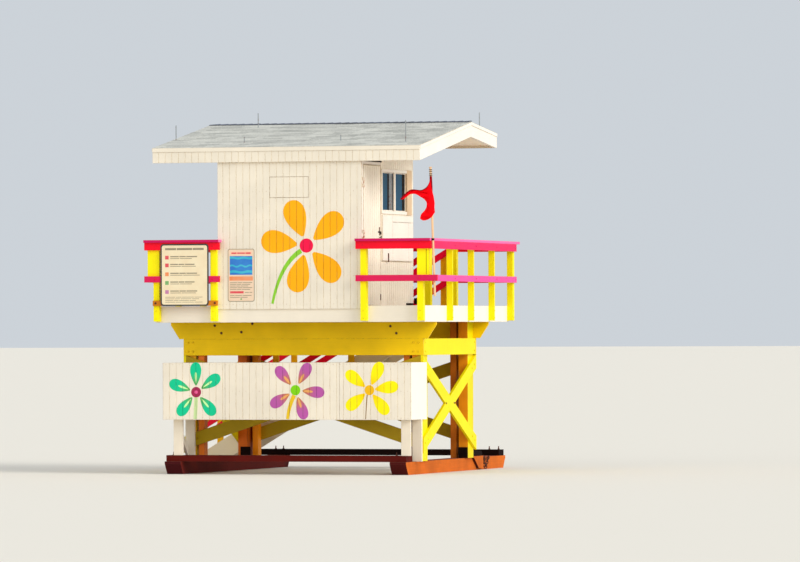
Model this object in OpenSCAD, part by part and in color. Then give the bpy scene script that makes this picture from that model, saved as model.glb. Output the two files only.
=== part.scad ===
// Beach lifeguard tower: a timber hut on a braced frame that stands on two skids.
// X runs across the deck, Y runs away from the near wall, Z is up, all in millimetres.
// The origin is on the ground under the middle of the overall box.

/* [Timber] */
// Thickness of every framing board
board_t = 38; // [32:1:50]
// Width of a four inch board or post
four_w = 89; // [80:1:100]
// Width of a six inch board or post
six_w = 140; // [120:1:150]
// Width of an eight inch board
eight_w = 184; // [160:1:200]
// Width of a ten inch board
ten_w = 238; // [210:1:250]
// Width of a twelve inch board
twelve_w = 286; // [260:1:300]
// Thickness of panel siding and plywood
panel_t = 15; // [12:1:20]
// Clearance between separate timbers that lie side by side
joint_gap = 0.3; // [0.2:0.1:0.6]

/* [Deck] */
// Overall width of the deck in X
deck_w = 4080; // [3800:10:4400]
// Length of the main deck in Y
deck_l = 3300; // [3250:10:3500]
// Height of the deck's walking surface
deck_top = 2412; // [2300:4:2600]
// Length of the landing beyond the main deck
landing_l = 900; // [850:10:1000]
// Width of the landing
landing_w = 900; // [850:10:950]
// Depth of the white fascia boards
fascia_h = 235; // [225:1:250]
// How far the fascia stands above the deck boards
fascia_lip = 13; // [5:1:25]
// Largest spacing of the joists
joist_pitch = 406; // [300:1:500]

/* [Skids] */
// Width of a skid timber
skid_w = 245; // [200:5:280]
// Height of a skid timber
skid_h = 185; // [150:5:230]
// Length of a skid
skid_l = 4980; // [4800:10:5100]
// Distance between the middles of the skids
skid_gauge = 3410; // [3380:10:3440]
// How far the pair of skids sits off the deck's middle in X
skid_shift = -80; // [-100:5:-60]
// How far the underside of each end of a skid is cut back
nose_cut = 110; // [60:5:200]
// Width of a cross timber on the skids
cross_w = 250; // [200:5:300]
// Height of a cross timber
cross_h = 89; // [70:1:110]
// Length of a cross timber
cross_l = 3640; // [3600:10:3700]
// How far the far cross timber runs on to the left of the near one
far_cross_over = 190; // [0:10:250]
// Distance of the near cross timber from the skids' near ends
cross_near_y = 50; // [30:5:120]
// Distance of the far cross timber from the skids' far ends
cross_far_y = 60; // [40:5:250]

/* [Legs] */
// Outer width of the braced leg frame in X
frame_w = 3650; // [3600:10:3700]
// Near face of the braced leg frame in Y
frame_near = 600; // [600:5:640]
// How far the leg frame's far face sits in from the deck's far edge
frame_back = 65; // [55:5:100]
// Depth of a girder, which stands on the lower beam
girder_h = 240; // [200:5:280]
// How far each girder runs past the deck's middle
girder_reach = 2020; // [1950:10:2035]
// How far the underside of a girder's end is cut back
girder_cut = 131; // [80:1:200]
// Height of the plumb cut at a girder's end
girder_nose = 40; // [30:5:60]
// Height at which the cross braces meet the posts low down
brace_foot = 300; // [280:5:380]
// Height of the low ends of the long cross braces
long_brace_foot = 355; // [300:5:420]

/* [Hut] */
// Width of the hut in X
hut_w = 2180; // [2100:10:2240]
// Depth of the hut in Y
hut_l = 2440; // [2400:10:2480]
// How far the hut's middle sits off the deck's middle
hut_shift = 10; // [0:1:20]
// Thickness of the stud frame in the walls
stud_t = 90; // [70:1:100]
// How far the near siding laps down over the fascia
siding_lap = 45; // [20:1:70]
// Width of the door leaf
door_w = 810; // [760:5:830]
// Height of the door leaf
door_h = 2030; // [1950:5:2040]
// Height of the door handle above the leaf's foot
handle_rise = 950; // [850:10:1100]
// Distance of the door handle from the leaf's free edge
handle_inset = 70; // [50:5:120]
// Thickness of the door leaf
door_t = 40; // [35:1:45]
// Width of the jamb post between the near corner and the doorway
jamb_w = 55; // [52:1:70]
// Clearance round the moving door leaf
door_gap = 5; // [5:0.5:7]
// Gap under the door leaf
door_lift = 8; // [6:1:12]
// Radius of a hinge pin
pin_r = 6; // [5:0.5:8]
// Running clearance of a hinge pin in its knuckles
pin_gap = 0.05; // [0.02:0.01:0.08]
// Wall thickness of a hinge knuckle
knuckle_wall = 4; // [3:0.5:5]
// Length of one hinge
hinge_l = 150; // [120:5:180]

/* [Windows] */
// Length of each window opening
window_w = 1180; // [1100:10:1200]
// Height of each window opening
window_h = 560; // [480:10:600]
// Height of a window opening's sill above the deck
window_sill = 1388; // [1340:2:1400]
// Distance from the doorway to the right window's casing
window_from_door = 6; // [5:1:20]
// Width of the boards round a window opening
casing_w = 45; // [40:1:60]
// Thickness of the boards round a window
casing_t = 18; // [15:1:25]
// Thickness of the glass
glass_t = 6; // [4:1:8]
// Length of the drop flap under the right window
flap_w = 1450; // [1350:10:1500]
// Height of the drop flap
flap_h = 660; // [600:10:700]
// Gap between the window casing and the drop flap
flap_gap = 20; // [10:1:30]
// Thickness of the drop flap
flap_t = 28; // [22:1:36]
// Width of the boards that frame the drop flap
flap_frame = 70; // [50:1:90]
// Width of the upright between a window's panes
mullion_w = 60; // [45:1:80]
// How far the glass stands back from the wall's face
glass_inset = 20; // [10:1:30]
// Width of the vent hatch in the near wall
hatch_w = 590; // [500:5:650]
// Height of the vent hatch
hatch_h = 300; // [250:5:350]
// Distance of the vent hatch from the hut's left edge
hatch_inset = 790; // [700:5:900]
// Height of the vent hatch's foot above the deck
hatch_rise = 1568; // [1500:2:1650]

/* [Roof] */
// Left edge of the roof from the deck's middle
roof_left = 2060; // [2000:5:2100]
// Right edge of the roof from the deck's middle
roof_right = 1985; // [1950:5:2030]
// Height of the roof at the near eave above the deck
near_eave_height = 2298; // [2280:2:2330]
// Distance of the ridge from the deck's near edge
ridge_y = 2480; // [2440:5:2520]
// Height of the ridge above the deck
ridge_height = 2704; // [2670:2:2740]
// Distance of the far eave from the deck's near edge
far_eave_y = 3790; // [3700:10:3850]
// Height of the roof at the far eave above the deck
far_eave_height = 2573; // [2540:1:2600]
// Thickness of the roof boards with their shingles
roof_t = 30; // [25:1:40]
// Depth of the eave boards and the bargeboards
eave_h = 215; // [205:1:230]
// Thickness of the soffit boards under the open ends
soffit_t = 12; // [9:1:15]
// Number of rafters across the roof
rafter_count = 8; // [6:1:10]
// Radius of the rods on the roof
rod_r = 7; // [5:1:10]
// Height of the tallest rod
tall_rod = 315; // [250:5:350]
// Height of the other rods
high_rod = 220; // [180:5:260]
// Height of the short stubs
low_rod = 90; // [60:5:120]
// Distance of the outer rods from the inner faces of the bargeboards
rod_inset = 20; // [15:1:40]

/* [Rails] */
// Height of the cap's top above the deck
cap_height = 971; // [920:1:1020]
// Depth of the apron board under the cap
apron_h = 110; // [89:1:140]
// Height of the middle of the mid rail above the deck
mid_height = 404; // [360:1:450]
// How far the rail posts reach down over the fascia
post_drop = 205; // [180:5:215]
// How far the near caps stand out past the apron
cap_overhang = 38; // [25:1:45]
// How far the near rails run past the hut's corners
rail_lap = 60; // [40:1:75]
// Number of bays between the uprights along the right side
side_bays = 4; // [3:1:5]
// How far the right cap runs past the landing's end
cap_tail = 170; // [60:5:200]

/* [Stair] */
// Run of one step
step_run = 310; // [280:2:330]
// Number of risers from the ground to the landing
riser_count = 13; // [12:1:14]
// Thickness of the boards that stand outside the stringers
stair_post_t = 38; // [32:1:45]
// Height of the handrail above the line of the steps
handrail_h = 900; // [860:5:960]
// Distance of the stair rails' ends from the toe and the landing
rail_inset = 60; // [40:5:90]
// How far the stringers' toe runs out past the lowest step's edge
toe_run = 30; // [20:5:50]

/* [Board locker] */
// Length of the board locker in X
locker_w = 3750; // [3720:5:3790]
// Height of the locker's body
locker_h = 820; // [760:5:880]
// Height of the locker's underside above the ground
locker_z = 790; // [760:5:850]
// How far the locker stands out before the deck's near edge
locker_reach = 60; // [40:5:90]
// Thickness of the locker's panels
locker_t = 18; // [15:1:20]
// Length of the front's left panel
seam_left = 947; // [900:1:1000]
// Length of the front's right panel
seam_right = 1071; // [1000:1:1100]
// How far the left front leg stands in from the locker's left end
leg_inset = 117; // [100:1:140]
// How far the rear legs stand to the right of the front ones
leg_step = 44; // [30:1:60]
// Distance of the rear legs from the deck's near edge
rear_leg_y = 450; // [400:5:500]

/* [Fittings] */
// Diameter of the flag pole
pole_d = 32; // [28:1:40]
// Height of the flag pole's foot above the deck
pole_rise = 143; // [100:1:190]
// Length of the flag pole
pole_l = 1830; // [1700:10:2000]
// How far the flag pole's top leans back towards the hut
pole_lean = 60; // [30:5:70]
// Height of the flag's upper corner above the deck
flag_rise = 1788; // [1700:2:1880]
// Length of the flag's edge along the pole
flag_hoist = 560; // [480:10:620]
// Reach of the flag's upper tail
flag_tail = 470; // [380:10:560]
// Reach of the flag's lower lobe
flag_lobe = 200; // [150:10:260]
// Space in Y that the flag's folds take
flag_t = 40; // [30:1:50]
// Width of the sign on the near rails
sign_w = 734; // [600:2:800]
// Height of the sign on the near rails
sign_h = 895; // [700:5:900]
// Distance of that sign from the deck's left edge
sign_inset = 125; // [60:5:150]
// Height of that sign's foot above the deck
sign_rise = 18; // [10:1:40]
// Thickness of both signs
sign_t = 6; // [4:1:12]
// Width of the notice on the near wall
notice_w = 405; // [350:5:450]
// Height of the notice on the near wall
notice_h = 759; // [700:1:800]
// Distance of the notice from the hut's left edge
notice_inset = 154; // [120:1:200]
// Height of the notice's foot above the deck
notice_rise = 78; // [60:1:120]

/* [Hidden] */

half_deck = deck_w / 2;
joist_top = deck_top - board_t;
girder_top = joist_top - eight_w;
fascia_top = deck_top + fascia_lip;
fascia_z = fascia_top - fascia_h;
beam_top = girder_top - girder_h;
beam_z = beam_top - ten_w;
half_frame = frame_w / 2;
frame_far = deck_l - frame_back;
far_end = deck_l + landing_l;
landing_x = half_deck - landing_w;
hut_left = hut_shift - hut_w / 2;
hut_right = hut_shift + hut_w / 2;
wall_t = stud_t + panel_t;
cap_top = deck_top + cap_height;
cap_z = cap_top - board_t;
mid_z = deck_top + mid_height - four_w / 2;
rail_out = four_w + board_t;
side_out = half_deck + rail_out;
post_z = deck_top - post_drop;
riser = deck_top / riser_count;
stair_slope = riser / step_run;
stair_angle = atan(stair_slope);
stair_toe = landing_x - (riser_count - 1) * step_run - toe_run;
skid_far = skid_l;
near_eave_top = deck_top + near_eave_height;
ridge_top = deck_top + ridge_height;
far_eave_top = deck_top + far_eave_height;
pole_foot = deck_top + pole_rise;
flag_top = deck_top + flag_rise;

// How far the near mid rail runs on to hold the flag pole
pole_hold = side_out + pole_d + pole_lean;

// The overall box, which fixes the origin
box_left = min(stair_toe, -roof_left, -side_out);
box_right = pole_hold;
box_near = -four_w - board_t - cap_overhang;
box_far = skid_far;
middle_x = (box_left + box_right) / 2;
middle_y = (box_near + box_far) / 2;

near_slope = (ridge_top - near_eave_top) / (ridge_y + panel_t + board_t);
far_slope = (ridge_top - far_eave_top) / (far_eave_y - ridge_y);
near_eave_y = -panel_t - board_t;

// Top of the roof at a distance from the deck's near edge
function roof_z(y) = y < ridge_y ? ridge_top - (ridge_y - y) * near_slope
                                 : ridge_top - (y - ridge_y) * far_slope;

// Height of the line through the step edges
function step_line(x) = deck_top - (landing_x - x) * stair_slope;

// Place of the flag pole's middle at a height above its foot; it touches the side rail's cap
pole_slope = pole_lean / pole_l;
function pole_x(h) = side_out + pole_d / 2 + 1 + pole_slope * (cap_top - pole_foot - h);

module at_centre() {
    translate([-middle_x, -middle_y, 0]) children();
}

// A board given by two opposite corners
module block(low, high) {
    translate(low) cube(high - low);
}

// An upright profile drawn in Y and Z and carried along X
module along_x(x0, x1) {
    translate([x0, 0, 0]) rotate([90, 0, 90]) linear_extrude(x1 - x0) children();
}

// An upright profile drawn in X and Z and carried along Y
module along_y(y0, y1) {
    translate([0, y1, 0]) rotate([90, 0, 0]) linear_extrude(y1 - y0) children();
}

module skid(side) {
    nose_z = skid_h * 0.8;
    x = skid_shift + side * skid_gauge / 2;
    along_x(x - skid_w / 2, x + skid_w / 2)
        polygon([[0, skid_h], [0, nose_z], [nose_cut, 0], [skid_far - nose_cut, 0], [skid_far, nose_z],
                 [skid_far, skid_h]]);
}

module left_skid() {
    color("#4a1418") at_centre() skid(-1);
}

module right_skid() {
    color("#4a1418") at_centre() skid(1);
}

module cross_timber(y0, over = 0) {
    x = skid_shift;
    block([x - cross_l / 2 - over, y0, skid_h], [x + cross_l / 2, y0 + cross_w, skid_h + cross_h]);
}

module near_cross_timber() {
    color("#5a1a1c") at_centre() cross_timber(cross_near_y);
}

module far_cross_timber() {
    color("#5a1a1c") at_centre() cross_timber(skid_far - cross_far_y - cross_w, far_cross_over);
}

// One corner of the leg frame: an outer post, its sister behind it and a slimmer inner post
module corner_posts(side, far) {
    face = half_frame - board_t;
    y0 = far ? frame_far - board_t : frame_near + board_t;
    step = far ? -1 : 1;
    for (k = [0, 1]) {
        a = y0 + step * k * (six_w + joint_gap);
        b = a + step * six_w;
        block([side > 0 ? face - six_w : -face, min(a, b), skid_h],
              [side > 0 ? face : -face + six_w, max(a, b), girder_top]);
    }
    inner = face - six_w - board_t;
    inner_y = far ? (side > 0 ? y0 - 2 * six_w - joint_gap : y0 - six_w) : y0;
    block([side > 0 ? inner - four_w : -inner, inner_y, skid_h],
          [side > 0 ? inner : -inner + four_w, inner_y + six_w, girder_top]);
}

module near_left_posts() {
    color("#e0661e") at_centre() corner_posts(-1, false);
}

module near_right_posts() {
    color("#e0661e") at_centre() corner_posts(1, false);
}

module far_left_posts() {
    color("#e0661e") at_centre() corner_posts(-1, true);
}

module far_right_posts() {
    color("#e0661e") at_centre() corner_posts(1, true);
}

module near_lower_beam() {
    color("#e8b400") at_centre()
        block([-half_frame, frame_near, beam_z], [half_frame, frame_near + board_t, beam_top]);
}

module far_lower_beam() {
    color("#b58a00") at_centre()
        block([-half_frame, frame_far - board_t, beam_z], [half_frame, frame_far, beam_top]);
}

module side_lower_beams() {
    color("#f8ee00") at_centre() {
        for (side = [-1, 1]) {
            x = side > 0 ? half_frame - board_t : -half_frame;
            block([x, frame_near + board_t, beam_z], [x + board_t, frame_far - board_t, beam_top]);
        }
    }
}

module girder(y) {
    z = beam_top;
    along_y(y, y + board_t)
        polygon([[-girder_reach, girder_top], [-girder_reach, girder_top - girder_nose],
                 [-girder_reach + girder_cut, z], [girder_reach - girder_cut, z],
                 [girder_reach, girder_top - girder_nose], [girder_reach, girder_top]]);
}

module near_girder() {
    color("#e8b400") at_centre() girder(frame_near);
}

module far_girder() {
    color("#b58a00") at_centre() girder(frame_far - board_t);
}

// Plumb depth of a board of a given width that climbs by a rise over a run
function plumb(wide, rise, run) = wide / cos(atan(rise / run));

// One board of a cross brace, drawn flat, from its low end to its high end
module brace_board(run, low, high, wide) {
    intersection() {
        square([run, beam_z]);
        polygon([[0, low], [0, low + wide], [run, high], [run, high - wide]]);
    }
}

// Two boards that cross with a half lap, each cut to half its thickness there
module lapped_brace(run, low, high, wide) {
    half = board_t / 2;
    difference() {
        linear_extrude(board_t) brace_board(run, low, high, wide);
        translate([0, 0, half - joint_gap / 2]) linear_extrude(board_t)
            offset_cross(run, low, high, wide);
    }
    difference() {
        linear_extrude(board_t) translate([run, 0]) mirror([1, 0]) brace_board(run, low, high, wide);
        translate([0, 0, -half + joint_gap / 2]) linear_extrude(board_t)
            translate([run, 0]) mirror([1, 0]) offset_cross(run, low, high, wide);
    }
}

// The strip that the other board takes, with a little clearance
module offset_cross(run, low, high, wide) {
    translate([run, 0]) mirror([1, 0])
        polygon([[-1, low - joint_gap], [-1, low + wide + joint_gap],
                 [run + 1, high + joint_gap], [run + 1, high - wide - joint_gap]]);
}

module long_brace(y) {
    run = frame_w - 2 * board_t;
    at_centre() translate([-run / 2, y + board_t, 0]) rotate([90, 0, 0])
        lapped_brace(run, long_brace_foot, beam_z, plumb(eight_w, beam_z - long_brace_foot, run));
}

module side_brace(x) {
    run = frame_far - frame_near;
    at_centre() translate([x, frame_near, 0]) rotate([90, 0, 90])
        lapped_brace(run, brace_foot, beam_z, plumb(eight_w, beam_z - brace_foot, run));
}

module near_cross_brace() {
    color("#a07a00") long_brace(frame_near);
}

module far_cross_brace() {
    color("#a07a00") long_brace(frame_far - board_t);
}

module left_cross_brace() {
    color("#f8f000") side_brace(-half_frame);
}

module right_cross_brace() {
    color("#f8f000") side_brace(half_frame - board_t);
}

module deck_joists() {
    inside = half_deck - board_t;
    count = ceil((2 * inside - board_t) / joist_pitch);
    pitch = (2 * inside - board_t - 2 * joint_gap) / count;
    color("#8a5a20") at_centre() {
        for (k = [0 : count]) {
            x = -inside + joint_gap + k * pitch;
            long = x > landing_x + board_t;
            y1 = long ? far_end - board_t : deck_l - board_t;
            block([x, board_t, girder_top], [x + board_t, y1, joist_top]);
        }
    }
}

module deck_floor() {
    color("#c9a878") at_centre() {
        block([-half_deck + board_t, board_t, joist_top],
              [landing_x + board_t - joint_gap, deck_l - board_t, deck_top]);
        block([landing_x + board_t, board_t, joist_top],
              [half_deck - board_t, far_end - board_t, deck_top]);
    }
}

module deck_fascias() {
    g = joint_gap;
    color("#f2ecdc") at_centre() {
        block([-half_deck, 0, fascia_z], [half_deck, board_t, fascia_top]);
        block([-half_deck, board_t + g, fascia_z], [-half_deck + board_t, deck_l, fascia_top]);
        block([half_deck - board_t, board_t + g, fascia_z], [half_deck, far_end, fascia_top]);
        block([-half_deck + board_t + g, deck_l - board_t, fascia_z],
              [landing_x + board_t, deck_l, fascia_top]);
        block([landing_x, deck_l + g, fascia_z], [landing_x + board_t, far_end, fascia_top]);
        block([landing_x + board_t + g, far_end - board_t, fascia_z],
              [half_deck - board_t - g, far_end, fascia_top]);
    }
}

stair_near = deck_l + 5 + stair_post_t;
stair_far = far_end - stair_post_t - board_t;

// The outline of a stringer: level at the ground and plumb against the landing
module stringer_profile() {
    drop = twelve_w / cos(stair_angle) - fascia_lip;
    x_heel = landing_x - (deck_top - drop) / stair_slope;
    polygon([[landing_x, fascia_top], [stair_toe, step_line(stair_toe) + fascia_lip],
             [stair_toe, 0], [x_heel, 0], [landing_x, deck_top - drop]]);
}

module stair_stringers() {
    color("#efe6cf") at_centre() {
        along_y(stair_near, stair_near + board_t) stringer_profile();
        along_y(stair_far, stair_far + board_t) stringer_profile();
    }
}

module stair_treads() {
    color("#c9a878") at_centre()
        for (k = [1 : riser_count - 1]) {
            x = landing_x - (riser_count - k) * step_run;
            z = k * riser;
            block([x, stair_near + board_t, z - board_t], [x + twelve_w, stair_far, z]);
        }
}

// A board that follows the stair, plumb at both ends
module sloping_board(x0, x1, above, deep) {
    polygon([[x0, step_line(x0) + above - deep], [x1, step_line(x1) + above - deep],
             [x1, step_line(x1) + above], [x0, step_line(x0) + above]]);
}

module stair_rails() {
    color("#d81848") at_centre()
        for (y = [stair_near, stair_far])
            for (above = [handrail_h, handrail_h / 2])
                along_y(y, y + board_t)
                    sloping_board(stair_toe + rail_inset, landing_x, above, plumb(four_w, riser, step_run));
}

module stair_posts() {
    first = stair_toe + rail_inset;
    last = landing_x - rail_inset - four_w;
    spans = 3;
    color("#f6dc00") at_centre()
        for (y = [stair_near - joint_gap - stair_post_t, stair_far + board_t + joint_gap])
            for (k = [0 : spans]) {
                x = first + k * (last - first) / spans;
                line = step_line(x + four_w / 2);
                block([x, y, max(line - twelve_w / 2, 0)],
                      [x + four_w, y + stair_post_t, line + handrail_h - four_w / 2]);
            }
}

// Posts at the corners and uprights along the sides, bolted on the outer faces of the fascias
module rail_posts() {
    g = joint_gap;
    left_count = side_bays - 1;
    right_count = side_bays;
    color("#f6e400") at_centre() {
        for (x = [-half_deck, hut_left - four_w, hut_right, half_deck - four_w])
            block([x, -four_w, post_z], [x + four_w, 0, cap_z]);
        // The short block that fills the near right corner between the rails
        block([half_deck + g, -four_w, mid_z], [half_deck + four_w, 0, cap_z]);
        block([-half_deck - four_w, -four_w, mid_z], [-half_deck - g, 0, cap_z]);
        for (k = [1 : right_count - 1]) {
            y = k * far_end / right_count;
            block([half_deck, y, post_z], [half_deck + four_w, y + board_t, cap_z]);
        }
        block([half_deck, far_end - four_w, post_z], [half_deck + four_w, far_end, cap_z]);
        for (k = [1 : left_count - 1]) {
            y = k * deck_l / left_count;
            block([-half_deck - four_w, y, post_z], [-half_deck, y + board_t, cap_z]);
        }
        block([-half_deck - four_w, deck_l - four_w, post_z], [-half_deck, deck_l, cap_z]);
        // Posts that stand on the boards along the far edges
        for (x = [-half_deck + board_t + 1, -landing_w, landing_x - four_w])
            block([x, deck_l - board_t - four_w, deck_top], [x + four_w, deck_l - board_t, cap_z]);
        block([landing_x + board_t, far_end - board_t - four_w, deck_top],
              [landing_x + board_t + four_w, far_end - board_t, cap_z]);
    }
}

// An apron board under the cap and a mid rail, on the outer faces of the posts
module rail_pair_x(x0, x1, mid_x0, mid_x1, y) {
    block([x0, y, cap_z - apron_h], [x1, y + board_t, cap_z]);
    block([mid_x0, y, mid_z], [mid_x1, y + board_t, mid_z + four_w]);
}

module rail_pair_y(x, y0, y1) {
    block([x, y0, cap_z - apron_h], [x + board_t, y1, cap_z]);
    block([x, y0, mid_z], [x + board_t, y1, mid_z + four_w]);
}

module near_rails() {
    y = -rail_out;
    color("#e0103c") at_centre() {
        rail_pair_x(-side_out, hut_left + rail_lap, -side_out, hut_left + rail_lap, y);
        rail_pair_x(hut_right - rail_lap, side_out, hut_right - rail_lap, pole_hold, y);
    }
}

module left_rails() {
    color("#e0307c") at_centre() rail_pair_y(-side_out, -four_w, deck_l);
}

module right_rails() {
    color("#f03c9c") at_centre() rail_pair_y(side_out - board_t, -four_w, far_end);
}

module far_rails() {
    color("#d81848") at_centre() {
        rail_pair_x(-half_deck, landing_x, -half_deck, landing_x, deck_l - board_t);
        rail_pair_x(landing_x + board_t, half_deck - joint_gap, landing_x + board_t,
                    half_deck - joint_gap, far_end - board_t);
    }
}

module rail_caps() {
    near_y = -rail_out - cap_overhang;
    near_y1 = -panel_t - 5;
    g = joint_gap;
    x_in = side_out - six_w;
    color("#f03c9c") at_centre() {
        block([-side_out, near_y, cap_z], [hut_left + rail_lap, near_y1, cap_top]);
        block([hut_right - rail_lap, near_y, cap_z], [side_out, near_y1, cap_top]);
        block([-side_out, near_y1 + g, cap_z], [-x_in, deck_l, cap_top]);
        block([x_in, near_y1 + g, cap_z], [side_out, far_end + cap_tail, cap_top]);
        block([-x_in + g, deck_l - six_w, cap_z], [landing_x, deck_l, cap_top]);
        block([landing_x + board_t, far_end - six_w, cap_z], [x_in - g, far_end, cap_top]);
    }
}

// Everything that lies under the rafters, as one block for trimming the walls
module under_rafters(x0, x1) {
    sink = roof_t + six_w + 2;
    along_x(x0, x1)
        polygon([[near_eave_y, 0], [far_eave_y, 0], [far_eave_y, roof_z(far_eave_y) - sink],
                 [ridge_y, ridge_top - sink], [near_eave_y, near_eave_top - sink]]);
}

hatch_x = hut_left + hatch_inset;
hatch_z = deck_top + hatch_rise;

module near_wall() {
    color("#f3ead2") at_centre() difference() {
        intersection() {
            union() {
                block([hut_left + wall_t, 0, deck_top], [hut_right - wall_t, stud_t, ridge_top]);
                block([hut_left, -panel_t, fascia_top - siding_lap], [hut_right, 0, ridge_top]);
            }
            under_rafters(hut_left - 1, hut_right + 1);
        }
        block([hatch_x, -panel_t - 1, hatch_z], [hatch_x + hatch_w, 0, hatch_z + hatch_h]);
        block([hut_left - 1, 0, fascia_z], [hut_right + 1, board_t, fascia_top]);
    }
}

module vent_hatch() {
    g = 3;
    color("#f3ead2") at_centre()
        block([hatch_x + g, -panel_t, hatch_z + g], [hatch_x + hatch_w - g, 0, hatch_z + hatch_h - g]);
}

far_window_x = hut_shift - window_w / 2;
left_window_y = (hut_l - window_w) / 2;
window_z = deck_top + window_sill;
doorway_y1 = jamb_w + door_w + 2 * door_gap;
right_window_y = doorway_y1 + casing_w + window_from_door;
door_z = deck_top + door_lift;
doorway_top = door_z + door_h + door_gap;

module far_wall() {
    color("#f3ead2") at_centre() difference() {
        intersection() {
            block([hut_left + wall_t, hut_l - wall_t, deck_top], [hut_right - wall_t, hut_l, ridge_top]);
            under_rafters(hut_left, hut_right);
        }
        block([far_window_x, hut_l - wall_t - 1, window_z],
              [far_window_x + window_w, hut_l + 1, window_z + window_h]);
    }
}

module side_wall(x, y0, window_y) {
    difference() {
        intersection() {
            block([x, y0, deck_top], [x + wall_t, hut_l, ridge_top]);
            under_rafters(x, x + wall_t);
        }
        block([x - 1, window_y, window_z], [x + wall_t + 1, window_y + window_w, window_z + window_h]);
        block([x - 1, -1, fascia_z], [x + wall_t + 1, board_t, fascia_top]);
    }
}

module left_wall() {
    color("#efe4c8") at_centre() side_wall(hut_left, 0, left_window_y);
}

module right_wall() {
    color("#fffaf0") at_centre() side_wall(hut_right - wall_t, doorway_y1, right_window_y);
}

// The jamb post at the near corner and the wall over the doorway
module door_side_walls() {
    x = hut_right - wall_t;
    color("#fffaf0") at_centre() intersection() {
        union() {
            difference() {
                block([x, 0, deck_top], [hut_right, jamb_w, ridge_top]);
                block([x - 1, -1, fascia_z], [hut_right + 1, board_t, fascia_top]);
            }
            block([x, jamb_w + joint_gap, doorway_top], [hut_right, doorway_y1 - joint_gap, ridge_top]);
        }
        under_rafters(x, hut_right);
    }
}

door_y = jamb_w + door_gap;
pin_x = hut_right + pin_r + knuckle_wall + 2;
pin_y = jamb_w;
knuckle_r = pin_r + pin_gap + knuckle_wall;
hinge_zs = [door_z + 180, door_z + door_h / 2 - hinge_l / 2, door_z + door_h - 180 - hinge_l];

module door_leaf() {
    rail = 110;
    sink = 10;
    color("#fdf8ec") at_centre() difference() {
        block([hut_right - door_t, door_y, door_z], [hut_right, door_y + door_w, door_z + door_h]);
        block([hut_right - door_t - 1, door_y + rail, door_z + rail],
              [hut_right - door_t + sink, door_y + door_w - rail, door_z + door_h / 2 - rail / 2]);
        block([hut_right - door_t - 1, door_y + rail, door_z + door_h / 2 + rail / 2],
              [hut_right - door_t + sink, door_y + door_w - rail, door_z + door_h - rail]);
    }
}

module door_handle() {
    x = hut_right;
    y = door_y + door_w - handle_inset;
    z = door_z + handle_rise;
    color("#33302c") at_centre() {
        block([x, y - 20, z - 60], [x + 3, y + 20, z + 60]);
        for (s = [-1, 1])
            translate([x + 3, y, z + s * 42]) rotate([0, 90, 0]) cylinder(r = 6, h = 30, $fn = 32);
        translate([x + 33, y, z - 60]) cylinder(r = 7, h = 120, $fn = 32);
    }
}

// Thin plates on the leaf's face with the outer knuckles of each hinge
module door_hinge_leaves() {
    leaf_t = 3;
    third = hinge_l / 3;
    color("#8d8578") at_centre()
        for (z = hinge_zs)
            difference() {
                union() {
                    block([hut_right, door_y + 2, z + third + 1],
                          [hut_right + leaf_t, door_y + 60, z + 2 * third - 1]);
                    block([hut_right + leaf_t - 1, pin_y, z + third + 1],
                          [pin_x, pin_y + knuckle_r, z + 2 * third - 1]);
                    translate([pin_x, pin_y, z + third + 1])
                        cylinder(r = knuckle_r, h = third - 2, $fn = 48);
                    block([hut_right + 0.5, pin_y, z + third + 1], [pin_x, door_y + 30, z + 2 * third - 1]);
                }
                translate([pin_x, pin_y, z]) cylinder(r = pin_r + pin_gap, h = hinge_l, $fn = 48);
            }
}

module frame_hinge_leaves() {
    leaf_t = 3;
    third = hinge_l / 3;
    color("#8d8578") at_centre()
        for (z = hinge_zs) {
            translate([pin_x, pin_y, z]) cylinder(r = pin_r, h = hinge_l, $fn = 48);
            for (part = [0, 2]) {
                low = z + part * third;
                block([hut_right, pin_y - 48, low], [hut_right + leaf_t, pin_y - 3, low + third]);
                block([hut_right, pin_y - 14, low], [pin_x, pin_y - 3, low + third]);
                translate([pin_x, pin_y, low])
                    cylinder(r = knuckle_r, h = third, $fn = 48);
            }
        }
}

// Separate boards round an opening and one upright between its panes, drawn flat
module casing(length, height) {
    w = casing_w;
    g = joint_gap;
    linear_extrude(casing_t) {
        translate([-w, -w]) square([length + 2 * w, w]);
        translate([-w, height]) square([length + 2 * w, w]);
        translate([-w, g]) square([w, height - 2 * g]);
        translate([length, g]) square([w, height - 2 * g]);
        translate([length / 2 - mullion_w / 2, g]) square([mullion_w, height - 2 * g]);
    }
}

module window_casings() {
    color("#fdf8ec") at_centre() {
        translate([hut_right, right_window_y, window_z]) rotate([90, 0, 90]) casing(window_w, window_h);
        translate([hut_left - casing_t, left_window_y, window_z])
            rotate([90, 0, 90]) casing(window_w, window_h);
        translate([far_window_x, hut_l + casing_t, window_z]) rotate([90, 0, 0]) casing(window_w, window_h);
    }
}

module window_glass() {
    inset = glass_inset;
    color("#7fb4c8") at_centre() {
        block([hut_right - inset - glass_t, right_window_y, window_z],
              [hut_right - inset, right_window_y + window_w, window_z + window_h]);
        block([hut_left + inset, left_window_y, window_z],
              [hut_left + inset + glass_t, left_window_y + window_w, window_z + window_h]);
        block([far_window_x, hut_l - inset - glass_t, window_z],
              [far_window_x + window_w, hut_l - inset, window_z + window_h]);
    }
}

module drop_flap() {
    z1 = window_z - casing_w - flap_gap;
    y0 = doorway_y1 + 15;
    bay = (flap_w - 3 * flap_frame) / 2;
    sunk = flap_t - 10;
    color("#fffaf0") at_centre() difference() {
        block([hut_right, y0, z1 - flap_h], [hut_right + flap_t, y0 + flap_w, z1]);
        for (k = [0, 1]) {
            y = y0 + flap_frame + k * (bay + flap_frame);
            block([hut_right + sunk, y, z1 - flap_h + flap_frame],
                  [hut_right + flap_t + 1, y + bay, z1 - flap_frame]);
        }
    }
}

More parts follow.
